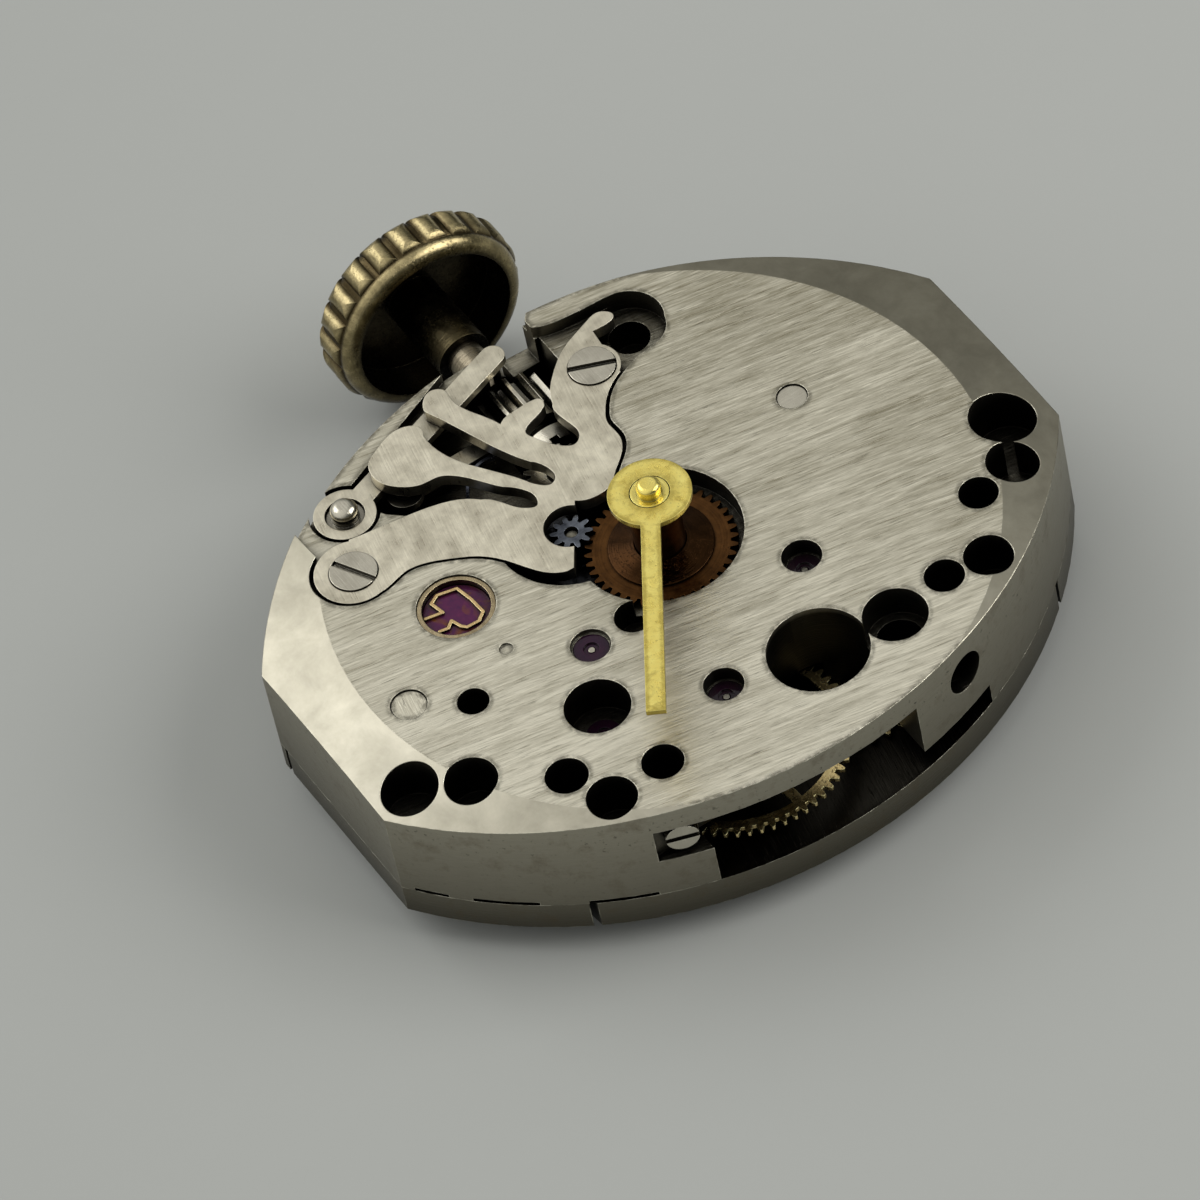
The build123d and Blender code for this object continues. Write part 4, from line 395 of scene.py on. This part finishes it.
NICKEL, NICKEL_DARK = (0.790, 0.745, 0.610), (0.330, 0.298, 0.210)
GREY_STEEL, GREY_DARK = (0.860, 0.800, 0.640), (0.420, 0.380, 0.290)
BRIGHT, BRIGHT_DARK = (0.720, 0.680, 0.570), (0.290, 0.265, 0.210)
GOLD, GOLD_DARK = (1.000, 0.900, 0.300), (0.860, 0.640, 0.120)
GILT, GILT_DARK = (1.000, 0.820, 0.420), (0.460, 0.320, 0.120)
COPPER, COPPER_DARK = (0.150, 0.066, 0.020), (0.016, 0.007, 0.003)
OLIVE, OLIVE_DARK = (0.760, 0.630, 0.340), (0.110, 0.085, 0.036)
RUBY, RUBY_DEEP = (0.040, 0.003, 0.022), (0.010, 0.001, 0.020)
BLUE, BLUE_DARK = (0.300, 0.330, 0.420), (0.120, 0.130, 0.180)
OILED, OILED_DARK = (0.460, 0.400, 0.290), (0.100, 0.080, 0.050)
SLATE, SLATE_DARK = (0.230, 0.250, 0.290), (0.030, 0.034, 0.044)
# painted shade and painted dark reflection: the dial washer's copper, nearly black under the hand
COPPER_PAINTED_SHADE, COPPER_PAINTED_SHADE_DARK = (0.060, 0.026, 0.009), (0.008, 0.004, 0.002)
AMBER, AMBER_DARK = (1.000, 0.760, 0.400), (0.420, 0.240, 0.090)
BRONZE, BRONZE_DARK = (0.700, 0.570, 0.350), (0.120, 0.085, 0.045)
PURPLE, PURPLE_DEEP, EMBER = (0.130, 0.012, 0.070), (0.040, 0.004, 0.050), (0.160, 0.045, 0.012)

plate_finish = grained_plate("nickel_plate", NICKEL, NICKEL_DARK, contrast=1.3)
bridge_finish = grained_plate("nickel_bridges", NICKEL, NICKEL_DARK, ACROSS, GRAIN, 0.7, 0.93, 0.3,
                              BRIDGE_TOP)
cover_finish = steel("ground_steel", GREY_STEEL, GREY_DARK, 0.24, 0.40, blotches=1.5, painted_shade_reach=1.0,
                     pitting=0.12)
screw_finish = steel("polished_screws", BRIGHT, BRIGHT_DARK, 0.12, 0.26, (1, 0, 0), 0.3, 0.025)
small_steel = steel("bright_steel", BRIGHT, BRIGHT_DARK, 0.16, 0.30, (0, 1, 0), 0.4, 0.02)
stem_finish = steel("turned_steel", OILED, OILED_DARK, 0.2, 0.36, (0, 1, 0), 0.6, 0.02, 0.5, 2.2)
dark_steel = steel("dark_steel", SLATE, SLATE_DARK, 0.12, 0.26, (0, 1, 0), 0.4, 0.02, painted_shade_reach=1.2,
                   blotches=2.0)
spring_finish = steel("spring_steel", BLUE, BLUE_DARK, 0.2, 0.34, (0, 0.7, 0), 0.3, 0.01)
jewel_finish = ruby("ruby", RUBY, RUBY_DEEP)

finishes = {
    "main_plate": plate_finish,
    "train_bridge": bridge_finish, "barrel_bridge": bridge_finish, "balance_cock": bridge_finish,
    "pallet_cock": bridge_finish, "centre_cock": bridge_finish,
    "keyless_cover": cover_finish, "setting_lever": cover_finish, "yoke": cover_finish,
    "stem": stem_finish, "minute_wheel": dark_steel,
    "hour_hand": gilt("worn_gold", GOLD, GOLD_DARK, middle("hour_hand"), 0.30, 0.15, 0.6, patina=0.75),
    "crown": gilt("crown_brass", OLIVE, OLIVE_DARK, (0, 0), 0.26, 0.3, 0.45, 3.0, 0.5, crown_painted_shade),
    "hour_wheel": gilt("copper_brown", COPPER, COPPER_DARK, (0, 0), 0.34, 0.6, 0.4),
    # the dial washer is painted nearly black as shade and dark reflection under the hand
    "dial_washer": gilt("copper_painted_shade", COPPER_PAINTED_SHADE, COPPER_PAINTED_SHADE_DARK, (0, 0), 0.14, 0.4, 0.3),
    "cannon_pinion": gilt("gilt_tip", GOLD, GOLD_DARK, (0, 0), 0.22, 0.1, 0.3, 0.4),
    "steady_pins": grained_plate("plate_pins", NICKEL, NICKEL_DARK, ACROSS, GRAIN, 0.6),
    "shock_springs": gilt("gold_spring", AMBER, AMBER_DARK, (0, 0), 0.20, 0.2, 0.1, 0.3),
    "shock_settings": gilt("gold_setting", BRONZE, BRONZE_DARK, (0, 0), 0.20, 0.3, 0.2, 0.6),
    "cap_jewels": ruby("cap_ruby", PURPLE, PURPLE_DEEP, EMBER),
}
for node in ("plate_jewels", "bridge_jewels", "pallet_stones", "impulse_jewel"):
    finishes[node] = jewel_finish
for node in ("bridge_screws", "cock_screws", "cover_screws", "dial_screws", "ratchet_screw", "wheel_screws",
             "setting_lever_post"):
    finishes[node] = screw_finish
for node in ("mainspring", "hairspring", "yoke_spring", "click_spring"):
    finishes[node] = spring_finish
for node in ("barrel_drum", "barrel_cover", "centre_wheel", "third_wheel", "fourth_wheel",
             "balance_wheel", "hairspring_stud"):
    finishes[node] = gilt("gilt_" + node, GILT, GILT_DARK, middle(node), 0.26, 0.5, 0.2)
for node, piece in nodes.items():
    chosen = finishes.get(node, small_steel)
    piece.data.materials.clear()
    piece.data.materials.append(chosen)


# Floor: a wide pale sheet under the movement that keeps its soft shadow
def make_floor():
    size, steps = 900 * MM, 24
    verts, faces = [], []
    for row in range(steps + 1):
        for column in range(steps + 1):
            verts.append(((column / steps - 0.5) * size, (row / steps - 0.5) * size, 0.0))
    for row in range(steps):
        for column in range(steps):
            first = row * (steps + 1) + column
            faces.append((first, first + 1, first + steps + 2, first + steps + 1))
    mesh = bpy.data.meshes.new("floor")
    mesh.from_pydata(verts, [], faces)
    floor = bpy.data.objects.new("floor", mesh)
    bpy.context.scene.collection.objects.link(floor)
    return floor


def floor_material():
    s = Shader("pale_paper")
    spot = s.place()
    cloud = s.noise(spot, 0.02, 3.0, 0.5)
    fibre = s.noise(spot, 0.9, 4.0, 0.6)
    tone = s.swing(fibre, 0.12, cloud)
    base = s.mix(tone, (0.362, 0.372, 0.355), (0.404, 0.412, 0.396))
    normal = s.bump(fibre, 0.15, 0.05)
    return s.finish(base, 0.75, normal, Specular_IOR_Level=0.25)


floor = make_floor()
floor.location.z = cad_box[0][2]
floor.data.materials.append(floor_material())


# Light: one broad soft panel, a weaker one across from it and a pale room
def panel(name, place, aim, size, power, colour):
    data = bpy.data.lights.new(name, "AREA")
    data.shape = "RECTANGLE"
    data.size, data.size_y = size[0] * MM, size[1] * MM
    data.energy = power
    data.color = colour
    lamp = bpy.data.objects.new(name, data)
    bpy.context.scene.collection.objects.link(lamp)
    lamp.location = Vector(place) * MM
    lamp.rotation_mode = "QUATERNION"
    lamp.rotation_quaternion = (Vector(aim) * MM - lamp.location).to_track_quat("-Z", "Y")
    return lamp


centre = (1.5, 0, 2)
panel("window", (-120, -190, 200), centre, (240, 200), 0.55, (1.0, 0.99, 0.97))
panel("fill", (230, 130, 260), centre, (260, 200), 0.28, (0.98, 0.99, 1.0))


def make_room():
    """A pale room, brighter above and to one side, darker low on the other, as a window lights it."""
    world = bpy.data.worlds.new("room")
    bpy.context.scene.world = world
    world.use_nodes = True
    tree = world.node_tree
    tree.nodes.clear()
    direction = tree.nodes.new("ShaderNodeTexCoord").outputs["Generated"]
    facing = tree.nodes.new("ShaderNodeVectorMath")
    facing.operation = "DOT_PRODUCT"
    facing.inputs[1].default_value = Vector((0.35, 0.62, 0.70)).normalized()
    tree.links.new(direction, facing.inputs[0])
    ramp = tree.nodes.new("ShaderNodeValToRGB")
    tree.links.new(facing.outputs["Value"], ramp.inputs[0])
    stops = ((0.0, (0.10, 0.105, 0.10)), (0.30, (0.42, 0.43, 0.42)), (0.62, (0.80, 0.80, 0.78)),
             (1.0, (1.05, 1.05, 1.02)))
    while len(ramp.color_ramp.elements) < len(stops):
        ramp.color_ramp.elements.new(0.5)
    for element, (place, colour) in zip(ramp.color_ramp.elements, stops):
        element.position = place
        element.color = (*colour, 1)
    background = tree.nodes.new("ShaderNodeBackground")
    background.inputs["Strength"].default_value = 0.9
    tree.links.new(ramp.outputs[0], background.inputs["Color"])
    output = tree.nodes.new("ShaderNodeOutputWorld")
    tree.links.new(background.outputs[0], output.inputs["Surface"])


make_room()
